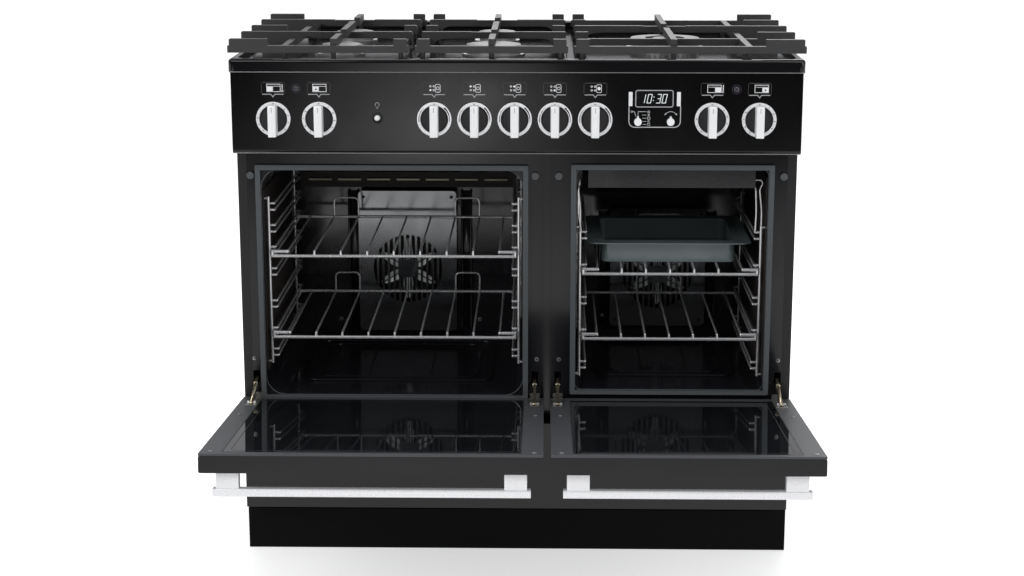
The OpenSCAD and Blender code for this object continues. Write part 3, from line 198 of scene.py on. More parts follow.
lampSettings = [
    {"name": "keyLamp", "place": (-2.6, -3.2, 3.1), "aim": (0, 0.1, 0.6), "size": (2.2, 1.6), "power": 62},
    {"name": "fillLamp", "place": (3.0, -2.6, 2.4), "aim": (0, 0.1, 0.5), "size": (1.8, 1.8), "power": 34},
    {"name": "topLamp", "place": (0.0, 0.9, 3.4), "aim": (0, 0.2, 0.9), "size": (2.6, 1.6), "power": 46},
    {"name": "backLamp", "place": (0.6, 3.4, 2.6), "aim": (0, 0.5, 0.5), "size": (2.4, 1.6), "power": 40},
]


def makeLamps():
    for lamp in lampSettings:
        data = bpy.data.lights.new(lamp["name"], "AREA")
        data.shape = "RECTANGLE"
        data.size, data.size_y = lamp["size"]
        data.energy = lamp["power"]
        holder = bpy.data.objects.new(lamp["name"], data)
        holder.location = lamp["place"]
        aim = Vector(lamp["aim"]) - Vector(lamp["place"])
        holder.rotation_euler = aim.to_track_quat("-Z", "Y").to_euler()
        holder.visible_camera = False
        scene.collection.objects.link(holder)


makeCamera()
makeWorld()
makeFloor()
makeLamps()
scene.view_settings.view_transform = "Standard"
print("studio ready")


# Shader groups: each puts out a mask, a roughness or a normal that a finish uses with its own values

def startGroup(name, outputs, **inputs):
    tree = bpy.data.node_groups.new(name, "ShaderNodeTree")
    for label, value in inputs.items():
        label = label.replace("_", " ")
        socket = tree.interface.new_socket(label, in_out="INPUT", socket_type="NodeSocketFloat")
        socket.default_value = value
    for label in outputs:
        kind = "NodeSocketVector" if label == "Normal" else "NodeSocketFloat"
        tree.interface.new_socket(label, in_out="OUTPUT", socket_type=kind)
    board = Board(tree)
    return board, tree.nodes.new("NodeGroupInput").outputs, board.add("TexCoord").outputs["Object"]


def endGroup(board, **outputs):
    end = board.tree.nodes.new("NodeGroupOutput")
    for label, source in outputs.items():
        board.feed(end, label, source)
    return board.tree


def makeGrainGroup():
    # Fine cast, sprayed or moulded grain
    board, start, place = startGroup("fineGrain", ("Mask", "Normal"), Scale=900, Depth=0.3, Reach=0.0002)
    inputs = {"Vector": place, "Scale": start["Scale"], "Detail": 4, "Roughness": 0.65}
    grain = board.add("TexNoise", inputs).outputs["Fac"]
    bump = board.add("Bump", {"Strength": start["Depth"], "Distance": start["Reach"], "Height": grain})
    return endGroup(board, Mask=grain, Normal=bump.outputs["Normal"])


def makeSmudgeGroup():
    # Large soft patches where a gloss surface was touched or wiped
    board, start, place = startGroup("wipeMarks", ("Roughness", "Mask"), Scale=6, Low=0.08, High=0.2)
    inputs = {"Vector": place, "Scale": start["Scale"], "Detail": 5, "Distortion": 0.6}
    cloud = board.add("TexNoise", inputs).outputs["Fac"]
    rough = board.span(cloud, 0.35, 0.75, start["Low"], start["High"])
    return endGroup(board, Roughness=rough, Mask=cloud)


def makeSpeckGroup():
    # Sparse bright specks, as in oven enamel
    board, start, place = startGroup("specks", ("Mask",), Scale=700, Limit=0.68)
    noise = board.add("TexNoise", {"Vector": place, "Scale": start["Scale"], "Detail": 1}).outputs["Fac"]
    full = board.math("ADD", start["Limit"], 0.06)
    return endGroup(board, Mask=board.span(noise, start["Limit"], full))


def makeBrushGroup():
    # Fine lines, drawn out most along the axis with the lowest value
    board, start, place = startGroup(
        "brushLines", ("Mask", "Normal"), Along_X=4, Along_Y=400, Along_Z=400, Depth=0.15)
    along = board.add("CombineXYZ", {axis: start["Along " + axis] for axis in "XYZ"})
    stretch = board.add("VectorMath", {0: place, 1: along.outputs[0]}, operation="MULTIPLY")
    lines = board.add("TexNoise", {"Vector": stretch.outputs[0], "Scale": 1, "Detail": 3}).outputs["Fac"]
    bump = board.add("Bump", {"Strength": start["Depth"], "Distance": 0.0002, "Height": lines})
    return endGroup(board, Mask=lines, Normal=bump.outputs["Normal"])


def makeWeaveGroup():
    # Diagonal braid of a woven door seal
    board, start, place = startGroup("braid", ("Mask", "Normal"), Scale=260, Depth=0.6)
    waves = []
    for turn in (45, -45):
        swing = board.add("Mapping", {"Vector": place, "Rotation": (0, radians(turn), 0)})
        inputs = {"Vector": swing.outputs[0], "Scale": start["Scale"], "Distortion": 0.4}
        waves.append(board.add("TexWave", inputs, bands_direction="X").outputs["Fac"])
    both = board.math("MAXIMUM", *waves)
    bump = board.add("Bump", {"Strength": start["Depth"], "Distance": 0.0006, "Height": both})
    return endGroup(board, Mask=both, Normal=bump.outputs["Normal"])


def makeSpangleGroup():
    # The crystal pattern of galvanised sheet
    board, start, place = startGroup("spangle", ("Mask",), Scale=45)
    cells = board.add("TexVoronoi", {"Vector": place, "Scale": start["Scale"]})
    split = board.add("SeparateColor", {0: cells.outputs["Color"]})
    return endGroup(board, Mask=split.outputs[0])


grainGroup = makeGrainGroup()
smudgeGroup = makeSmudgeGroup()
speckGroup = makeSpeckGroup()
brushGroup = makeBrushGroup()
weaveGroup = makeWeaveGroup()
spangleGroup = makeSpangleGroup()
print("shader groups ready")


# Materials

class Finish(Board):
    def __init__(self, name, **sockets):
        self.material = bpy.data.materials.new(name)
        self.material.use_nodes = True
        super().__init__(self.material.node_tree)
        self.shader = self.tree.nodes["Principled BSDF"]
        self.put(**sockets)

    def put(self, **sockets):
        for label, value in sockets.items():
            self.feed(self.shader, label.replace("_", " "), value)

    def group(self, tree, **values):
        inputs = {label.replace("_", " "): value for label, value in values.items()}
        return self.add("Group", inputs, node_tree=tree).outputs

    def tint(self, mask, low, high):
        # The colour runs between two, by a mask
        color = self.mix(mask, low, high)
        self.put(Base_Color=color)
        return color

    def roughen(self, mask, low, high, start=0.3, stop=0.7):
        # The roughness runs between two values, by a mask
        self.put(Roughness=self.span(mask, start, stop, low, high))


def glossEnamel(name, color, low, high, peel=0.05, lift=0.002):
    finish = Finish(name, Base_Color=color, Specular_IOR_Level=0.5)
    marks = finish.group(smudgeGroup, Scale=5, Low=low, High=high)
    skin = finish.group(grainGroup, Scale=120, Depth=peel, Reach=0.0003)
    finish.put(Roughness=marks["Roughness"], Normal=skin["Normal"])
    finish.tint(marks["Mask"], color, tuple(1.6 * c + lift for c in color))
    return finish.material


def ovenEnamel(name, color, speck, metallic=0.0):
    finish = Finish(name, Specular_IOR_Level=0.9, Metallic=metallic)
    marks = finish.group(smudgeGroup, Scale=9, Low=0.1, High=0.26)
    dots = finish.group(speckGroup, Scale=900, Limit=0.66)
    skin = finish.group(grainGroup, Scale=160, Depth=0.08, Reach=0.0004)
    finish.put(Roughness=marks["Roughness"], Normal=skin["Normal"])
    finish.tint(dots["Mask"], color, speck)
    return finish.material


def grainyPaint(name, low, high, roughness, scale, depth, metallic=0.0, reach=0.0003, shine=0.5):
    finish = Finish(name, Metallic=metallic, Specular_IOR_Level=shine)
    grain = finish.group(grainGroup, Scale=scale, Depth=depth, Reach=reach)
    finish.tint(grain["Mask"], low, high)
    finish.put(Normal=grain["Normal"])
    finish.roughen(grain["Mask"], roughness - 0.08, roughness + 0.08)
    return finish.material


def dullPaint(*values):
    return grainyPaint(*values, shine=0.08)


def drawnMetal(name, low, high, roughness, along, depth):
    finish = Finish(name, Metallic=1.0)
    lines = finish.group(brushGroup, Along_X=along[0], Along_Y=along[1], Along_Z=along[2], Depth=depth)
    finish.tint(lines["Mask"], low, high)
    finish.put(Normal=lines["Normal"])
    finish.roughen(lines["Mask"], roughness - 0.06, roughness + 0.08)
    return finish.material


def zincSheet(name, low, high):
    finish = Finish(name, Metallic=0.9)
    cells = finish.group(spangleGroup, Scale=85)
    grain = finish.group(grainGroup, Scale=500, Depth=0.08, Reach=0.0003)
    finish.tint(cells["Mask"], low, high)
    finish.roughen(cells["Mask"], 0.34, 0.52, 0, 1)
    finish.put(Normal=grain["Normal"])
    return finish.material


def braidedSeal(name, low, high):
    finish = Finish(name, Specular_IOR_Level=0.35)
    braid = finish.group(weaveGroup, Scale=150, Depth=0.5)
    finish.tint(braid["Mask"], low, high)
    finish.roughen(braid["Mask"], 0.72, 0.5, 0, 1)
    finish.put(Normal=braid["Normal"])
    return finish.material


def mirrorGlass(name, color):
    finish = Finish(name, Base_Color=color, IOR=1.62, Specular_IOR_Level=0.95)
    marks = finish.group(smudgeGroup, Scale=7, Low=0.015, High=0.06)
    finish.put(Roughness=marks["Roughness"])
    finish.tint(marks["Mask"], color, tuple(1.5 * c + 0.002 for c in color))
    return finish.material


def printedInk(name, color, roughness=0.45):
    finish = Finish(name)
    grain = finish.group(grainGroup, Scale=2500, Depth=0.1, Reach=0.0001)
    finish.tint(grain["Mask"], tuple(0.9 * c for c in color), color)
    finish.roughen(grain["Mask"], roughness - 0.05, roughness + 0.05)
    return finish.material


def litGlass(name, color, glow):
    finish = Finish(name, Roughness=0.25, Emission_Strength=glow)
    grain = finish.group(grainGroup, Scale=1200, Depth=0.05, Reach=0.0001)
    tint = finish.tint(grain["Mask"], tuple(0.85 * c for c in color), color)
    finish.put(Emission_Color=tint)
    return finish.material


finishes = {
    "blackEnamel": (glossEnamel, (0.004, 0.004, 0.005), 0.1, 0.2),
    "panelEnamel": (glossEnamel, (0.0008, 0.0008, 0.001), 0.12, 0.2, 0.02, 0.0004),
    "hobEnamel": (glossEnamel, (0.003, 0.003, 0.0035), 0.08, 0.16, 0.008, 0.001),
    "blackPaint": (grainyPaint, (0.006, 0.006, 0.007), (0.014, 0.014, 0.016), 0.36, 900, 0.12),
    "plinthPaint": (dullPaint, (0.002, 0.002, 0.0022), (0.004, 0.004, 0.0045), 0.5, 900, 0.12),
    "cavityEnamel": (ovenEnamel, (0.006, 0.006, 0.008), (0.05, 0.053, 0.06)),
    "coverEnamel": (ovenEnamel, (0.27, 0.275, 0.28), (0.42, 0.42, 0.43), 1.0),
    "linerEnamel": (grainyPaint, (0.014, 0.011, 0.009), (0.045, 0.036, 0.03), 0.7, 1100, 0.5),
    "texturedPaint": (grainyPaint, (0.04, 0.043, 0.047), (0.075, 0.08, 0.086), 0.42, 1500, 0.35),
    "galvanised": (zincSheet, (0.4, 0.41, 0.42), (0.52, 0.53, 0.54)),
    "zincSteel": (drawnMetal, (0.42, 0.42, 0.41), (0.62, 0.61, 0.58), 0.34, (120, 120, 120), 0.1),
    "yellowZinc": (drawnMetal, (0.5, 0.42, 0.27), (0.72, 0.66, 0.5), 0.24, (90, 90, 90), 0.1),
    "seal": (braidedSeal, (0.028, 0.032, 0.035), (0.088, 0.097, 0.102)),
    "chromeWire": (grainyPaint, (0.74, 0.74, 0.75), (0.92, 0.92, 0.93), 0.22, 700, 0.05, 0.8),
    "elementSteel": (drawnMetal, (0.05, 0.047, 0.047), (0.12, 0.11, 0.105), 0.42, (60, 60, 60), 0.1),
    "castAluminium": (grainyPaint, (0.33, 0.33, 0.33), (0.52, 0.52, 0.51), 0.45, 1300, 0.35, 0.9),
    "capEnamel": (grainyPaint, (0.09, 0.09, 0.09), (0.16, 0.16, 0.155), 0.42, 1400, 0.2, 0.3),
    "castIron": (grainyPaint, (0.012, 0.012, 0.013), (0.056, 0.056, 0.057), 0.44, 1500, 0.7, 0.0, 0.0006),
    "satinMetal": (grainyPaint, (0.86, 0.86, 0.87), (0.95, 0.95, 0.96), 0.3, 900, 0.03, 0.35),
    "blackPlastic": (grainyPaint, (0.006, 0.006, 0.007), (0.012, 0.012, 0.013), 0.3, 1800, 0.12),
    "lampGlass": (litGlass, (0.42, 0.4, 0.36), 0.0),
    "doorGlass": (mirrorGlass, (0.004, 0.005, 0.006)),
    "panEnamel": (ovenEnamel, (0.1, 0.125, 0.13), (0.17, 0.2, 0.205)),
    "knobRing": (grainyPaint, (0.84, 0.84, 0.85), (0.92, 0.92, 0.93), 0.26, 1600, 0.03, 0.25),
    "knobBody": (drawnMetal, (0.05, 0.05, 0.052), (0.09, 0.09, 0.093), 0.4, (900, 20, 20), 0.15),
    "knobBar": (grainyPaint, (0.86, 0.87, 0.87), (0.93, 0.94, 0.94), 0.42, 1800, 0.06, 0.2),
    "whiteInk": (printedInk, (0.78, 0.78, 0.79)),
    "greyInk": (printedInk, (0.34, 0.34, 0.35)),
    # Near black for printed marks, and for the cross recesses of screw heads as painted shade
    "darkInk": (printedInk, (0.012, 0.012, 0.013)),
    "violetInk": (printedInk, (0.05, 0.035, 0.075)),
    "violetLens": (printedInk, (0.02, 0.014, 0.03), 0.6),
    "paleInk": (printedInk, (0.5, 0.5, 0.51)),
    "faintInk": (printedInk, (0.045, 0.045, 0.047)),
    "borderInk": (printedInk, (0.02, 0.021, 0.023)),
    "clockGlass": (mirrorGlass, (0.002, 0.002, 0.003)),
    # Pale grey for the thin lines under the panel and hob edges: painted highlight
    "lipPaint": (grainyPaint, (0.2, 0.2, 0.205), (0.32, 0.32, 0.325), 0.3, 900, 0.1, 0.4),
    "coverScrew": (grainyPaint, (0.012, 0.012, 0.013), (0.03, 0.03, 0.032), 0.4, 900, 0.2),
    # Near black for the gutters beside the fan covers: painted shade in the gaps
    "gutterEnamel": (glossEnamel, (0.002, 0.002, 0.002), 0.08, 0.16),
    # Fan blades and fan wheels are one steel, given as a lit copy and a shaded copy: painted highlight and
    # painted shade
    "bladeSteel": (grainyPaint, (0.86, 0.87, 0.86), (0.97, 0.98, 0.97), 0.4, 500, 0.2, 0.4),
    "fanSteel": (grainyPaint, (0.015, 0.015, 0.016), (0.04, 0.04, 0.041), 0.5, 700, 0.2, 0.4),
    # Lighter grey for the oven mouth rims: painted highlight on their rounded edges
    "rimEnamel": (grainyPaint, (0.1, 0.11, 0.12), (0.16, 0.17, 0.18), 0.16, 900, 0.05, 0.5),
    "ventBrass": (grainyPaint, (0.42, 0.4, 0.3), (0.6, 0.58, 0.46), 0.4, 600, 0.1, 0.3),
    "clockDigit": (litGlass, (0.62, 0.66, 0.65), 0.45),
}
look = {name: make(name, *values) for name, (make, *values) in finishes.items()}

wearers = {
    "galvanised": ["base_frame", "back_panel"],
    "zincSteel": ["levelling_feet", "fan_motors", "hinge_brackets", "gas_rail", "terminal_box"],
    "plinthPaint": ["plinth"],
    "blackPaint": ["side_panels"],
    "blackEnamel": ["front_frame", "rear_vent", "drawer"],
    "cavityEnamel": ["left_cavity", "right_cavity"],
    "seal": ["oven_seals"],
    "chromeWire": ["side_racks"],
    "linerEnamel": ["oven_liners"],
    "coverEnamel": ["fan_covers"],
    "elementSteel": ["heating_elements"],
    "lampGlass": ["lamps"],
    "hobEnamel": ["hob_top"],
    "castAluminium": ["burner_cups", "burner_crowns"],
    "capEnamel": ["burner_caps"],
    "panelEnamel": ["control_panel"],
    "blackPlastic": ["clock_module"],
    "knobBar": ["clock_select_knob", "clock_set_knob", "light_button"],
    # The fan wheels wear the shaded copy of the blade steel: painted shade
    "fanSteel": ["left_fan", "right_fan"],
    "panEnamel": ["grill_pan"],
    "castIron": [place + "_pan_support" for place in ("left", "centre", "right")],
}
finishOf = {node: finish for finish, names in wearers.items() for node in names}
for side in ("left", "right"):
    finishOf[side + "_door_shell"] = "blackEnamel"
    finishOf[side + "_door_glass"] = "doorGlass"
    finishOf[side + "_door_liner"] = "texturedPaint"
    finishOf[side + "_door_hinges"] = "zincSteel"
    finishOf[side + "_handle"] = "satinMetal"
    finishOf[side + "_hinge_arms"] = "yellowZinc"
    for level in ("upper", "lower"):
        finishOf[side + "_" + level + "_shelf"] = "chromeWire"


def paintNode(name, material):
    holder = nodes[name]
    if not holder.material_slots:
        holder.data.materials.append(material)
    for slot in holder.material_slots:
        slot.material = material


for name in nodes:
    paintNode(name, look[finishOf.get(name, "knobRing")])
print("materials ready:", len(look))


# Rounded edges on the CAD solids that show sharp corners

edgeRounding = {
    "front_frame": 0.3,
    "oven_seals": 2.6,
    "hob_top": 0.6,
    "drawer": 1.0,
    "plinth": 1.2,
    "side_panels": 0.5,
    "rear_vent": 0.4,
    "centre_pan_support": 0.9,
}
for side in ("left", "right"):
    edgeRounding[side + "_door_shell"] = 0.8
    edgeRounding[side + "_door_liner"] = 0.5
    edgeRounding[side + "_door_glass"] = 0.4
    edgeRounding[side + "_handle"] = 1.2
    edgeRounding[side + "_pan_support"] = 0.9
    edgeRounding[side + "_hinge_arms"] = 0.6


def roundEdges(name, width):
    holder = nodes[name]
    weld = holder.modifiers.new("weld", "WELD")
    weld.merge_threshold = 0.00001
    bevel = holder.modifiers.new("roundedEdges", "BEVEL")
    bevel.width = width * mm
    bevel.segments = 2
    bevel.limit_method = "ANGLE"
    bevel.angle_limit = radians(40)
    bevel.harden_normals = True
    bevel.use_clamp_overlap = True


for name, width in edgeRounding.items():
    roundEdges(name, width)
print("edges rounded")


# Shapes for the dressed pieces, all drawn in mm in the shared frame

toViewer = (0, -1, 0)
upward = (0, 0, 1)
backward = (0, 1, 0)
joinDistance = 0.0005


def soften(shape, width, segments=2):
    bent = radians(30)
    sharp = [e for e in shape.edges if len(e.link_faces) == 2 and e.calc_face_angle(0) > bent]
    bmesh.ops.bevel(
        shape, geom=sharp, offset=width, offset_type="OFFSET", segments=segments,
        profile=0.5, affect="EDGES", material=-1, clamp_overlap=True,
    )


def block(low, high, rim=0.0):
    shape = bmesh.new()
    bmesh.ops.create_cube(shape, size=1)
    size = [high[i] - low[i] for i in range(3)]
    middle = [(high[i] + low[i]) / 2 for i in range(3)]
    bmesh.ops.scale(shape, verts=shape.verts, vec=size)
    bmesh.ops.translate(shape, verts=shape.verts, vec=middle)
    if rim:
        soften(shape, rim)
    return shape


def drawOut(shape, faces, length):
    # Gives flat faces a thickness along Y
    made = bmesh.ops.extrude_face_region(shape, geom=faces)["geom"]
    moved = [v for v in made if isinstance(v, bmesh.types.BMVert)]
    bmesh.ops.translate(shape, verts=moved, vec=(0, length, 0))
    return shape


def slab(outline, front, back):
    # A flat outline in X and Z, drawn out along Y
    shape = bmesh.new()
    face = shape.faces.new([shape.verts.new((x, front, z)) for x, z in outline])
    return drawOut(shape, [face], back - front)


def circle(x, z, radius, steps=32, first=0.0, last=tau):
    whole = abs(last - first - tau) < 0.001
    count = steps if whole else steps + 1
    turns = [first + (last - first) * i / steps for i in range(count)]
    return [(x + radius * cos(t), z + radius * sin(t)) for t in turns]


def roundBox(x, z, width, height, radius, steps=6):
    points = []
    for cx, cz, first in (
        (x + width - radius, z + height - radius, 0),
        (x + radius, z + height - radius, pi / 2),
        (x + radius, z + radius, pi),
        (x + width - radius, z + radius, 1.5 * pi),
    ):
        points += circle(cx, cz, radius, steps, first, first + pi / 2)
    return points


def stripe(points, width, front, back, closed=False):
    # A line of even width along the points, with mitred bends
    count = len(points)
    path = [Vector((x, 0, z)) for x, z in points]
    left, right = [], []
    for i, point in enumerate(path):
        before = path[i - 1] if i or closed else point
        after = path[(i + 1) % count] if i < count - 1 or closed else point
        steps = [s.normalized() for s in (point - before, after - point) if s.length > 1e-6]
        along = sum(steps, Vector()).normalized()
        side = Vector((-along.z, 0, along.x))
        stretch = 1 / max(0.4, abs(Vector((-steps[0].z, 0, steps[0].x)).dot(side)))
        left.append(point + side * width / 2 * stretch)
        right.append(point - side * width / 2 * stretch)
    shape = bmesh.new()
    pairs = [[shape.verts.new((p.x, front, p.z)) for p in ends] for ends in zip(left, right)]
    links = list(zip(pairs, pairs[1:] + pairs[:1] if closed else pairs[1:]))
    faces = [shape.faces.new((a[0], a[1], b[1], b[0])) for a, b in links]
    return drawOut(shape, faces, back - front)


def facing(place, axis):
    # The move that takes a shape drawn facing up to its place and axis
    turn = Vector(upward).rotation_difference(Vector(axis)).to_matrix().to_4x4()
    return Matrix.Translation(place) @ turn


def turned(profile, place, axis, steps, closed=False):
    # A lathe profile of (radius, height) round an axis
    shape = bmesh.new()
    verts = [shape.verts.new((r, 0, h)) for r, h in profile]
    edges = [shape.edges.new(pair) for pair in zip(verts, verts[1:])]
    if closed:
        edges.append(shape.edges.new((verts[-1], verts[0])))
    bmesh.ops.spin(
        shape, geom=verts + edges, cent=(0, 0, 0), axis=(0, 0, 1), dvec=(0, 0, 0),
        angle=tau, steps=steps, use_merge=True, use_duplicate=False,
    )
    bmesh.ops.remove_doubles(shape, verts=shape.verts, dist=joinDistance)
    bmesh.ops.transform(shape, matrix=facing(place, axis), verts=shape.verts)
    return shape


def wire(points, radius, closed=False, bend=0.0):
    # A round wire along the points, its corners rounded where bend is given
    path = [Vector(p) for p in points]
    if bend:
        eased = []
        for i, point in enumerate(path):
            if not closed and i in (0, len(path) - 1):
                eased.append(point)
                continue
            before, after = path[i - 1], path[(i + 1) % len(path)]
            start, stop = [
                point + (end - point).normalized() * min(bend, (end - point).length * 0.48)
                for end in (before, after)
            ]
            for t in (0, 0.25, 0.5, 0.75, 1):
                eased.append(start.lerp(point, t).lerp(point.lerp(stop, t), t))
        path = eased
    data = bpy.data.curves.new("wire", "CURVE")
    data.dimensions = "3D"
    data.bevel_depth = radius
    data.bevel_resolution = 3
    data.use_fill_caps = True
    spline = data.splines.new("POLY")
    spline.points.add(len(path) - 1)
    for knot, point in zip(spline.points, path):
        knot.co = (*point, 1)
    spline.use_cyclic_u = closed
    holder = bpy.data.objects.new("wire", data)
    mesh = bpy.data.meshes.new_from_object(holder)
    shape = bmesh.new()
    shape.from_mesh(mesh)
    bmesh.ops.remove_doubles(shape, verts=shape.verts, dist=joinDistance)
    bpy.data.meshes.remove(mesh)
    bpy.data.objects.remove(holder)
    bpy.data.curves.remove(data)
    return shape


class Piece:
    def __init__(self, name, body, slot, *hidden):
        self.name, self.body, self.slot, self.hidden = name, body, slot, hidden
        self.whole = bmesh.new()
        self.looks = []
        self.turn = Matrix.Identity(4)

    def keep(self, shape, finish):
        # Takes a shape into the piece with one finish, and drops the shape
        if finish not in self.looks:
            self.looks.append(finish)
        for face in shape.faces:
            face.material_index = self.looks.index(finish)
        bmesh.ops.recalc_face_normals(shape, faces=shape.faces)
        bmesh.ops.transform(shape, matrix=Matrix.Scale(mm, 4) @ self.turn, verts=shape.verts)
        mesh = bpy.data.meshes.new("shape")
        shape.to_mesh(mesh)
        shape.free()
        self.whole.from_mesh(mesh)
        bpy.data.meshes.remove(mesh)

    def screw(self, place, axis, radius, finish):
        # A pan head with a dark cross in it: the cross recess is not cut but shown as painted shade
        h = radius * 0.45
        shares = [(0, 0), (1, 0), (1, 0.4), (0.86, 0.85), (0.62, 1), (0, 1)]
        self.keep(turned([(r * radius, rise * h) for r, rise in shares], place, axis, 20), finish)
        for a, b in ((0.55, 0.13), (0.13, 0.55)):
            mark = block((-a * radius, -b * radius, h - 0.2), (a * radius, b * radius, h + 0.03))
            bmesh.ops.transform(mark, matrix=facing(place, axis), verts=mark.verts)
            self.keep(mark, "darkInk")

    def done(self):
        mesh = bpy.data.meshes.new(self.name)
        self.whole.to_mesh(mesh)
        self.whole.free()
        for finish in self.looks:
            mesh.materials.append(look[finish])
        for polygon in mesh.polygons:
            polygon.use_smooth = True
        mesh.set_sharp_from_angle(angle=radians(32))
        holder = bpy.data.objects.new(self.name, mesh)
        scene.collection.objects.link(holder)
        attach(holder, self.body)
        if self.hidden:
            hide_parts(*self.hidden)


# Dial knobs: a white dial ring with dark marks, a dark body and a satin bar across it

knobSettings = {
    "height": 809.0,
    "face": -45.3,
    "dial": 30.0,
    "body": 23.8,
    "dialDepth": 6.0,
    "barWidth": 15.4,
    "barLow": -30.0,
    "barHigh": 26.0,
    "barDepth": 20.0,
    "shaft": 4.0,
    "shaftEnd": -8.0,
    "marks": 26.9,
    "digit": 0.72,
    "skin": 0.3,
}

digitRuns = {
    # Each digit as runs through a grid two wide and four high
    "0": [[(0, 0), (0, 4), (2, 4), (2, 0), (0, 0)]],
    "1": [[(1, 0), (1, 4), (0.2, 3.2)]],
    "2": [[(0, 4), (2, 4), (2, 2), (0, 2), (0, 0), (2, 0)]],
    "3": [[(0, 4), (2, 4), (2, 0), (0, 0)], [(0.4, 2), (2, 2)]],
    "4": [[(0, 4), (0, 2), (2, 2)], [(2, 4), (2, 0)]],
    "5": [[(2, 4), (0, 4), (0, 2), (2, 2), (2, 0), (0, 0)]],
    "6": [[(2, 4), (0, 4), (0, 0), (2, 0), (2, 2), (0, 2)]],
    "7": [[(0, 4), (2, 4), (0.8, 0)]],
    "8": [[(0, 0), (0, 4), (2, 4), (2, 0), (0, 0)], [(0, 2), (2, 2)]],
}

dialMarks = {
    "heat": list(zip((-38, -66, -94, -122, -216, -244, -272, -300), "12345678")),
    "mode": [
        (-50, "dot"), (-76, "bar"), (-104, "dot"), (-132, "ring"),
        (-222, "bar"), (-248, "dot"), (-274, "bar"),
    ],
    "gas": [(-60, "dot"), (-300, "dot")],
}


def dialMark(piece, x, z, turn, mark, front):
    # Marks stand on the dial ring with their feet towards its middle
    s = knobSettings
    place = Matrix.Translation((x, 0, z)) @ Matrix.Rotation(radians(turn), 4, "Y")
    piece.turn = place @ Matrix.Translation((0, 0, s["marks"]))
    back = front + s["skin"]
    if mark in digitRuns:
        for run in digitRuns[mark]:
            line = [((px - 1) * s["digit"], (pz - 2) * s["digit"]) for px, pz in run]
            piece.keep(stripe(line, 0.55, front, back), "darkInk")
    elif mark == "dot":
        piece.keep(slab(circle(0, 0, 0.9, 16), front, back), "darkInk")
    elif mark == "ring":
        piece.keep(stripe(circle(0, 0, 1.2, 20), 0.5, front, back, True), "darkInk")
    else:
        piece.keep(slab(roundBox(-1.5, -0.6, 3.0, 1.2, 0.4, 3), front, back), "darkInk")
    piece.turn = Matrix.Identity(4)


def makeKnob(name, body, node, x, kind):
    s = knobSettings
    z, face = s["height"], s["face"]
    piece = Piece(name, body, "knob_metal", node)
    place = (x, 0, z)
    core, dial, depth = s["body"], s["dial"], s["dialDepth"]
    top = depth - face
    ringTop = top - 1.5
    ring = [
        (core + 0.3, 1 - face), (dial - 0.4, 1 - face), (dial, 1.4 - face), (dial, ringTop - 0.6),
        (dial - 0.6, ringTop), (core + 0.8, ringTop), (core + 0.3, ringTop - 0.4),
    ]
    piece.keep(turned(ring, place, toViewer, 96, True), "knobRing")
    well = [
        (0, top - 2.4), (core - 2.2, top - 2.0), (core - 1.2, top - 0.3), (core - 0.7, top),
        (core - 0.2, top - 0.1), (core, top - 0.6), (core, 0.2 - face), (0, 0.2 - face),
    ]
    piece.keep(turned(well, place, toViewer, 96), "knobBody")
    end = -s["shaftEnd"]
    shaft = [(0, end), (s["shaft"], end), (s["shaft"], 1 - face), (0, 1 - face)]
    piece.keep(turned(shaft, place, toViewer, 20), "darkInk")
    half = s["barWidth"] / 2
    low, high = z + s["barLow"], z + s["barHigh"]
    front = face - depth - s["barDepth"]
    bar = block((x - half, front, low), (x + half, face - depth + 2.6, high))
    for vert in bar.verts:
        # The bar narrows a little towards the hand
        if vert.co.y < front + 1:
            vert.co.x = x + (vert.co.x - x) * 0.9
            vert.co.z += -0.6 if vert.co.z > z else 0.6
    soften(bar, 1.6, 3)
    piece.keep(bar, "knobBar")
    piece.keep(slab(roundBox(x - 0.55, high - 12, 1.1, 9, 0.5, 3), front - 0.01, front + 0.3), "greyInk")
    skin = -ringTop - 0.04
    if kind == "gas":
        # The flame scale is a wedge that thins out round the dial
        for first, last, wide in ((-40, -100, 2.6), (-260, -320, 1.4)):
            for i in range(10):
                a = radians(90 + first + (last - first) * i / 10)
                b = radians(90 + first + (last - first) * (i + 1) / 10)
                width = wide * (1 - 0.8 * i / 10)
                arc = circle(x, z, s["marks"] - 0.2, 2, a, b)
                piece.keep(stripe(arc, width, skin, skin + s["skin"]), "darkInk")
    for turn, mark in dialMarks[kind]:
        dialMark(piece, x, z, -turn, mark, skin)
    dialMark(piece, x, z, 0, "bar", skin)
    piece.done()


ovenDials = [
    ("left", "mode", -423.5), ("left", "heat", -343.4),
    ("right", "mode", 340.3), ("right", "heat", 422.1),
]
hobDials = [-142.6 + 70 * i for i in range(5)]

for side, kind, x in ovenDials:
    stem = side + "_" + kind
    makeKnob(side + kind.capitalize() + "Knob", stem + "_dial", stem + "_knob", x, kind)
for i, x in enumerate(hobDials, 1):
    makeKnob("hobKnob" + str(i), "hob_dial_" + str(i), "hob_knob_" + str(i), x, "gas")
print("knobs dressed:", len(ovenDials) + len(hobDials))


# Printing on the control panel: brackets over the knobs with a small picture in each

printSettings = {
    "face": -45.0,
    "proud": 0.12,
    "sink": 0.3,
    "bracketZ": 851.8,
    "tip": 4.6,
    "half": 18.6,
    "line": 1.5,
    "iconLow": 856.4,
    "iconHigh": 869.4,
    "lamps": [(-383, 862), (382, 862)],
    "light": (-242, 811),
}


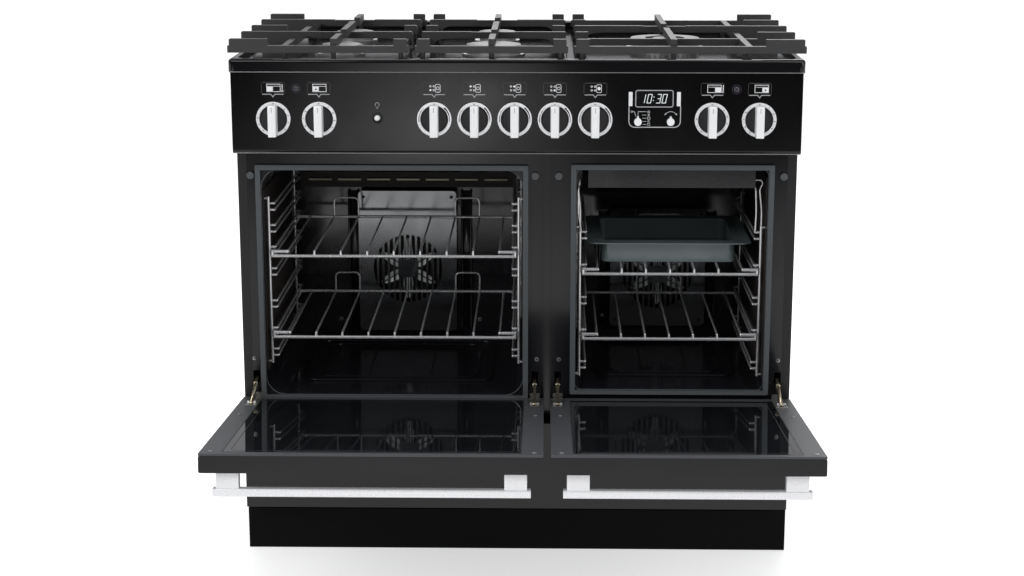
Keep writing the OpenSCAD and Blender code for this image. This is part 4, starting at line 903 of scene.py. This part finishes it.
def makePanelPrint():
    s = printSettings
    front, back = s["face"] - s["proud"], s["face"] + s["sink"]
    piece = Piece("panelPrint", "cooker", "satin_metal")

    def line(points, width, finish="whiteInk", closed=False):
        piece.keep(stripe(points, width, front, back, closed), finish)

    def patch(outline):
        piece.keep(slab(outline, front, back), "whiteInk")

    def bracket(x):
        z, half = s["bracketZ"], s["half"]
        arrow = [(x - half, z), (x - 3.4, z), (x, z - s["tip"]), (x + 3.4, z), (x + half, z)]
        line(arrow, s["line"], "greyInk")
        for side in (-1, 1):
            edge = x + side * (half + 1.2)
            line([(edge, z + 1.4), (edge, z + 19.5)], 0.9, "faintInk")
        line([(x - half, z + 20.6), (x + half, z + 20.6)], 1.2, "faintInk")

    low, high = s["iconLow"], s["iconHigh"]
    for side, kind, x in ovenDials:
        # A small cooker with the dial's own oven filled in
        bracket(x)
        left = x - (10.5 if side == "left" else 8.5)
        right = left + 23.5
        line([(left, low), (left, high), (right, high), (right, low)], 0.9, "whiteInk", True)
        line([(left, high - 3.6), (right, high - 3.6)], 0.7)
        split = left + 10.5 if side == "left" else right - 10.5
        line([(split, low), (split, high - 3.4)], 0.8)
        x0, x1 = (left + 0.4, split) if side == "left" else (split, right - 0.4)
        patch([(x0, low), (x1, low), (x1, high - 4.4), (x0, high - 4.4)])
        if kind == "mode":
            post = right + 3.4
            line([(post, low), (post, high)], 1.3)
            patch(circle(post, low + 1.2, 1.9, 20))
        else:
            piece.keep(slab(circle((x0 + x1) / 2, low + 4.2, 1.5, 16), front - 0.05, back), "darkInk")

    # One ring for each burner; the burner that the knob works is filled
    spots = [(-6.4, 859.6), (-6.4, 866.2), (-0.6, 866.2), (-0.6, 859.6), (6.4, 862.9)]
    for i, x in enumerate(hobDials):
        bracket(x)
        for n, (dx, z) in enumerate(spots):
            radius = 2.9 if n == 4 else 1.8
            if n == i:
                patch(circle(x + dx, z, radius, 20))
            else:
                line(circle(x + dx, z, radius - 0.4, 20), 0.8, "whiteInk", True)
        line(roundBox(x + 2.2, low - 0.4, 8.4, 13.6, 2.0, 4), 0.8, "whiteInk", True)

    # Light bulb over its button, and rings round the two lamps
    x = s["light"][0]
    line(circle(x, 834.2, 3.4, 20, radians(-55), radians(235)), 0.9, "greyInk")
    for z in (829.6, 827.8):
        line([(x - 1.6, z), (x + 1.6, z)], 0.8, "greyInk")
    for x, z in s["lamps"]:
        line(circle(x, z, 7.6, 40), 0.8, "violetInk", True)
    piece.done()


makePanelPrint()

clockSettings = {
    "window": (208, 831.5, 64, 28),
    "digitHigh": 15.0,
    "digitWide": 6.4,
    "slant": 0.2,
    "colon": 16.6,
    "digitX": 220.5,
    "digitZ": 838.0,
    "digits": [("1", -3.4), ("0", 6.4), ("3", 22.4), ("0", 32.4)],
    "bars": [(195.4, 6.6), (279.0, 6.6)],
    "barZ": (832.5, 857.2),
    "frame": (196.2, 285.6, 795.6, 10),
}


def makeClockPrint():
    s = clockSettings
    face = printSettings["face"]
    front, back = face - printSettings["proud"], face + printSettings["sink"]
    piece = Piece("clockPrint", "cooker", "satin_metal")

    def line(points, width, closed=False):
        piece.keep(stripe(points, width, front, back, closed), "paleInk")

    x, z, wide, high = s["window"]
    rim = roundBox(x - 0.4, z - 0.4, wide + 0.8, high + 0.8, 3.4)
    glass = roundBox(x + 0.3, z + 0.3, wide - 0.6, high - 0.6, 3)
    piece.keep(stripe(rim, 1.7, face - 0.5, back, True), "greyInk")
    piece.keep(slab(glass, face + 0.1, face + 0.3), "clockGlass")
    barLow, barHigh = s["barZ"]
    for x, wide in s["bars"]:
        piece.keep(slab(roundBox(x, barLow, wide, barHigh - barLow, 0.5, 3), front, back), "whiteInk")
    left, right, low, bend = s["frame"]
    edge = [(left, barLow)]
    edge += circle(left + bend, low + bend, bend, 8, pi, 1.5 * pi)
    edge += circle(right - bend, low + bend, bend, 8, 1.5 * pi, tau)
    edge += [(right, barLow)]
    line(edge, 1.5)

    # Lit digits, slanted like those of such a clock
    lit = (face + 0.02, face + 0.25)
    step = s["digitHigh"] / 4
    for digit, across in s["digits"]:
        for run in digitRuns[digit]:
            shape = []
            for px, pz in run:
                px = 1.6 if digit == "1" else px
                shape.append((
                    s["digitX"] + across + px * s["digitWide"] / 2 + pz * step * s["slant"],
                    s["digitZ"] + pz * step,
                ))
            if digit == "1":
                shape = shape[:2]
            closed = shape[0] == shape[-1]
            piece.keep(stripe(shape[:-1] if closed else shape, 1.15, *lit, closed), "clockDigit")
    for share in (0.3, 0.7):
        rise = share * s["digitHigh"]
        dot = circle(s["digitX"] + s["colon"] + rise * s["slant"], s["digitZ"] + rise, 0.9, 16)
        piece.keep(slab(dot, *lit), "clockDigit")

    # Lines from the two clock knobs to their small pictures
    line(circle(201, 822.9, 1.5, 20), 0.7, True)
    line([(203, 822.9), (205.6, 822.9), (208.6, 813.4)], 0.8)
    line([(212, 813.8), (212, 822.9), (226.4, 822.9)], 0.8)
    for z in (817, 811.4, 805.8, 800.6):
        line([(219.6, z), (226.4, z)], 0.7)
    line(circle(230.4, 822.6, 1.7, 12, radians(-10), radians(190)), 0.7)
    line([(228, 821.6), (232.8, 821.6)], 0.7)
    line([(228.8, 819), (232.2, 819), (228.8, 815.2), (232.2, 815.2)], 0.6, True)
    line(roundBox(228.2, 809.4, 4.6, 3.6, 0.8, 3), 0.7, True)
    line(circle(230.5, 805.8, 1.7, 16), 0.6, True)
    line([(230.5, 805.8), (230.5, 807)], 0.5)
    line([(228.4, 799), (232.6, 799), (232.6, 802.2), (228.4, 802.2)], 0.6, True)
    # Two-headed arrow over the set knob
    arc = circle(268.9, 811.6, 11.4, 14, radians(40), radians(140))
    line(arc, 0.8)
    for (x, z), lean in ((arc[0], 1), (arc[-1], -1)):
        tip = [(x + 2.4 * lean, z - 1.9), (x - 0.9 * lean, z - 1.4), (x + 0.9 * lean, z + 1.3)]
        piece.keep(slab(tip, front, back), "paleInk")
    piece.done()


makeClockPrint()


# Small round fittings of the panel: lamp bezels and the ring of the light button

fittingSettings = {
    "bezel": [(4.0, 45), (5.4, 45), (5.4, 45.5), (4.9, 46), (4.2, 46), (3.9, 45.6)],
    "lens": [(0, 45.2), (3.85, 45.2), (3.7, 45.9), (2.4, 46.4), (0, 46.6)],
    "collar": [(5.8, 45), (9.6, 45), (9.6, 46.2), (8.8, 46.9), (6.8, 46.7), (5.9, 45.9)],
}


def makePanelFittings():
    s = fittingSettings
    piece = Piece("panelFittings", "cooker", "black_plastic")
    for x, z in printSettings["lamps"]:
        piece.keep(turned(s["bezel"], (x, 0, z), toViewer, 40, True), "blackPlastic")
        piece.keep(turned(s["lens"], (x, 0, z), toViewer, 32), "violetLens")
    x, z = printSettings["light"]
    piece.keep(turned(s["collar"], (x, 0, z), toViewer, 48, True), "blackPlastic")
    piece.done()


makePanelFittings()


# Thin bright lines along the rounded lower edges of the control panel and the hob: painted highlight,
# standing for the light those edges catch

edgeHighlightSettings = {
    "panel": {"half": 496.6, "y": -42.4, "z": 748.3},
    "hob": {"half": 497, "y": -50.2, "z": 891.2},
}
edgeHighlightRadius = 0.9


def makeEdgeHighlights():
    for name, s in edgeHighlightSettings.items():
        piece = Piece(name + "Lip", "cooker", "satin_metal")
        ends = [(x, s["y"], s["z"]) for x in (-s["half"], s["half"])]
        # Each line is a thin wire painted pale grey as painted highlight
        piece.keep(wire(ends, edgeHighlightRadius), "lipPaint")
        piece.done()


makeEdgeHighlights()
print("control panel printed")


# Screws in the body, the ovens and the back

screwSpots = {
    # Rows for each piece: axis, head radius, finish and places
    "frameScrews": [(toViewer, 4.2, "zincSteel", [(x, 0, 364) for x in (-477, 37, 77, 474)])],
    "wallScrews": [
        (toViewer, 4.4, "zincSteel", [(x, 420, 334) for x in (-364, -81)]),
        (toViewer, 4.0, "zincSteel", [(x, 420, 344) for x in (168, 386)]),
    ],
    "backScrews": [
        (backward, 4.0, "zincSteel", [(x, 565.8, z) for x in (-480, 480) for z in (120, 330, 540, 750)]),
        (backward, 4.0, "zincSteel", [(x, 565.8, 870) for x in (-300, 0, 300)]),
    ],
    "coverScrews": [
        (toViewer, 3.4, "coverScrew", [(x, 390, z) for x in (-312, -136) for z in (330, 592)]),
        (toViewer, 3.4, "coverScrew", [(x, 390, z) for x in (192, 362) for z in (342, 558)]),
    ],
}


def makeScrews():
    for name, rows in screwSpots.items():
        piece = Piece(name, "cooker", "zinc_steel")
        for axis, radius, finish, places in rows:
            for place in places:
                piece.screw(place, axis, radius, finish)
        piece.done()


makeScrews()


# Doors: screws in the side strips, a fine seal round the inner pane and its printed border, drawn closed

doorSettings = {
    "pivotY": -24.0,
    "pivotZ": 281.0,
    "open": 84.8,
    "inner": -10.0,
    "low": 269.0,
    "high": 734.0,
    "strip": 36.0,
    "railLow": 24.0,
    "railHigh": 12.0,
    "edges": {"left": (-497.0, 50.0), "right": (61.5, 497.0)},
    "screwIn": (17.5, 14.5),
    "screwZ": (427, 718),
    "screw": 3.6,
    "seal": 1.6,
    "border": 12.0,
    "borderBend": 10.0,
    "borderWidth": 1.2,
}


def opened():
    s = doorSettings
    hinge = Matrix.Translation((0, s["pivotY"], s["pivotZ"]))
    return hinge @ Matrix.Rotation(radians(s["open"]), 4, "X") @ hinge.inverted()


def makeDoorTrim(side):
    s = doorSettings
    left, right = s["edges"][side]
    inner = s["inner"]
    piece = Piece(side + "DoorTrim", side + "_door", "zinc_steel")
    piece.turn = opened()
    for x in (left + s["screwIn"][0], right - s["screwIn"][1]):
        for z in s["screwZ"]:
            piece.screw((x, inner, z), backward, s["screw"], "zincSteel")
    x0, x1 = left + s["strip"], right - s["strip"]
    z0, z1 = s["low"] + s["railLow"], s["high"] - s["railHigh"]
    seal = [(x0, z0), (x0, z1), (x1, z1), (x1, z0)]
    piece.keep(stripe(seal, s["seal"], inner - 0.4, inner + 0.25, True), "darkInk")
    inset = s["border"]
    border = roundBox(x0 + inset, z0 + inset, x1 - x0 - 2 * inset, z1 - z0 - 2 * inset, s["borderBend"])
    piece.keep(stripe(border, s["borderWidth"], inner - 0.3, inner + 0.12, True), "borderInk")
    piece.done()


for side in ("left", "right"):
    makeDoorTrim(side)
print("doors trimmed")


# Wire springs that hold the racks of the narrow oven at their front ends

springSettings = {"wire": 1.6, "bend": 6, "y": 26.0, "low": 597.0, "neck": 675.0, "top": 691.0}


def makeRackSprings():
    s = springSettings
    y, low, neck, top = s["y"], s["low"], s["neck"], s["top"]
    piece = Piece("rackSprings", "cooker", "chrome_wire")
    right = [
        (439.8, y, low), (439.8, y, neck - 40), (435.2, y, neck), (440.8, y, top - 7), (438, y, top),
        (425, y, top), (422.2, y, top - 7), (428.4, y, neck), (430.4, y, neck - 44), (429.2, y, low),
    ]
    left = [
        (114.2, y, low), (114.2, y, neck - 40), (110.4, y, neck), (112.6, y + 7, top - 7),
        (112.6, y + 5, top), (112.6, y - 5, top), (112.6, y - 7, top - 7), (110.4, y - 2, neck),
        (110.4, y - 2, neck - 44), (116, y - 2, low),
    ]
    for points in (right, left):
        piece.keep(wire(points, s["wire"], bend=s["bend"]), "chromeWire")
    piece.done()


makeRackSprings()


# Rolled rims of the oven mouths, painted a lighter grey than the cavity as painted highlight along their
# rounded edges, and a pale strip behind the slots of each vent

mouthSettings = [
    {"mouth": (-456, 296, 468, 416, 35), "vent": (-422, -22)},
    {"mouth": (106, 308, 342, 406, 12), "vent": (140, 414)},
]
rimSettings = {"wire": 1.0, "y": -0.3, "out": 0.3, "ventY": (393.5, 394.5), "ventZ": (624.6, 628.4)}


def makeMouths():
    s = rimSettings
    (y0, y1), (z0, z1) = s["ventY"], s["ventZ"]
    rims = Piece("mouthRimHighlights", "cooker", "cavity_enamel")
    vents = Piece("ventStrips", "cooker", "zinc_steel")
    for row in mouthSettings:
        x, z, width, height, bend = row["mouth"]
        out = s["out"]
        outline = roundBox(x - out, z - out, width + 2 * out, height + 2 * out, bend, 12)
        rims.keep(wire([(px, s["y"], pz) for px, pz in outline], s["wire"], True), "rimEnamel")
        left, right = row["vent"]
        vents.keep(block((left, y0, z0), (right, y1, z1), 0.3), "ventBrass")
    rims.done()
    vents.done()


makeMouths()


# Pressed shapes of the oven walls: upright gutters beside the fan covers, painted darker as painted shade
# in the gaps there, and a raised floor

pressings = [
    {"name": "left", "gutters": (-334, -107), "low": 312, "high": 602, "floor": (-400, -48, 298)},
    {"name": "right", "gutters": (170, 384), "low": 326, "high": 560, "floor": (150, 404, 310)},
]
pressSettings = {
    "lip": (9, 2.5, 2.2),
    "lipY": (411, 421),
    "dip": (7, 1.1),
    "dipY": (418.6, 421),
    "floorY": (90, 380),
    "floorBend": 26,
    "rims": [(0, 3.4), (26, 2.4)],
    "ridge": (30, 1.2),
}


def makePressings(row):
    s = pressSettings
    low, high = row["low"], row["high"]
    piece = Piece(row["name"] + "OvenPressings", "cooker", "cavity_enamel")
    reach, half, rim = s["lip"]
    for x in row["gutters"]:
        # Two raised lips beside a gutter painted dark as painted shade
        y0, y1 = s["lipY"]
        for lean in (-1, 1):
            middle = x + lean * reach
            bar = block((middle - half, y0, low), (middle + half, y1, high))
            soften(bar, rim, 3)
            piece.keep(bar, "cavityEnamel")
        y0, y1 = s["dipY"]
        wide, edge = s["dip"]
        piece.keep(block((x - wide, y0, low + 2), (x + wide, y1, high - 2), edge), "gutterEnamel")
    x0, x1, z = row["floor"]
    y0, y1 = s["floorY"]
    for inset, width in s["rims"]:
        rim = roundBox(x0 + inset, y0 + inset, x1 - x0 - 2 * inset, y1 - y0 - 2 * inset, s["floorBend"], 8)
        piece.keep(wire([(px, py, z + 0.2) for px, py in rim], width / 2, True), "cavityEnamel")
    short, radius = s["ridge"]
    for n in (1, 2):
        x = x0 + (x1 - x0) / 3 * n
        piece.keep(wire([(x, y0 + short, z + 0.1), (x, y1 - short, z + 0.1)], radius), "cavityEnamel")
    piece.done()


for row in pressings:
    makePressings(row)


# Pressed blades of the fan wheels, painted near white as painted highlight; the wheels under them are
# painted near black as painted shade

fanSettings = {
    "rows": [("left", -224.0, 446.0), ("right", 277.0, 436.0)],
    "face": 395.5,
    "inner": 14.0,
    "outer": 57.0,
    "sheet": 1.2,
    "lean": 0.3,
    "pairs": 6,
}


def makeFanBlades(side, x, z):
    s = fanSettings
    inner, outer, face = s["inner"], s["outer"], s["face"]
    piece = Piece(side + "FanBlades", side + "_fan_wheel", "zinc_steel")
    half = [
        (1.2, inner), (8.6, inner + 5), (10.4, inner + 18),
        (7.2, outer - 8), (1.8, outer + 5), (1.2, outer + 5),
    ]
    for n in range(s["pairs"]):
        piece.turn = Matrix.Translation((x, face, z)) @ Matrix.Rotation(tau * n / s["pairs"], 4, "Y")
        for lean in (-1, 1):
            blade = slab([(lean * px, pz) for px, pz in half], 0, s["sheet"])
            tilt = Matrix.Rotation(-lean * s["lean"], 3, "Z")
            bmesh.ops.rotate(blade, verts=blade.verts, cent=(lean * 1.4, 0, 0), matrix=tilt)
            piece.keep(blade, "bladeSteel")
    piece.turn = Matrix.Identity(4)
    hub = [(0, 4), (8, 4), (9.6, 2), (9.6, -3), (0, -3)]
    piece.keep(turned([(r, rise - face) for r, rise in hub], (x, 0, z), toViewer, 24), "zincSteel")
    piece.done()


for row in fanSettings["rows"]:
    makeFanBlades(*row)
print("ovens dressed")
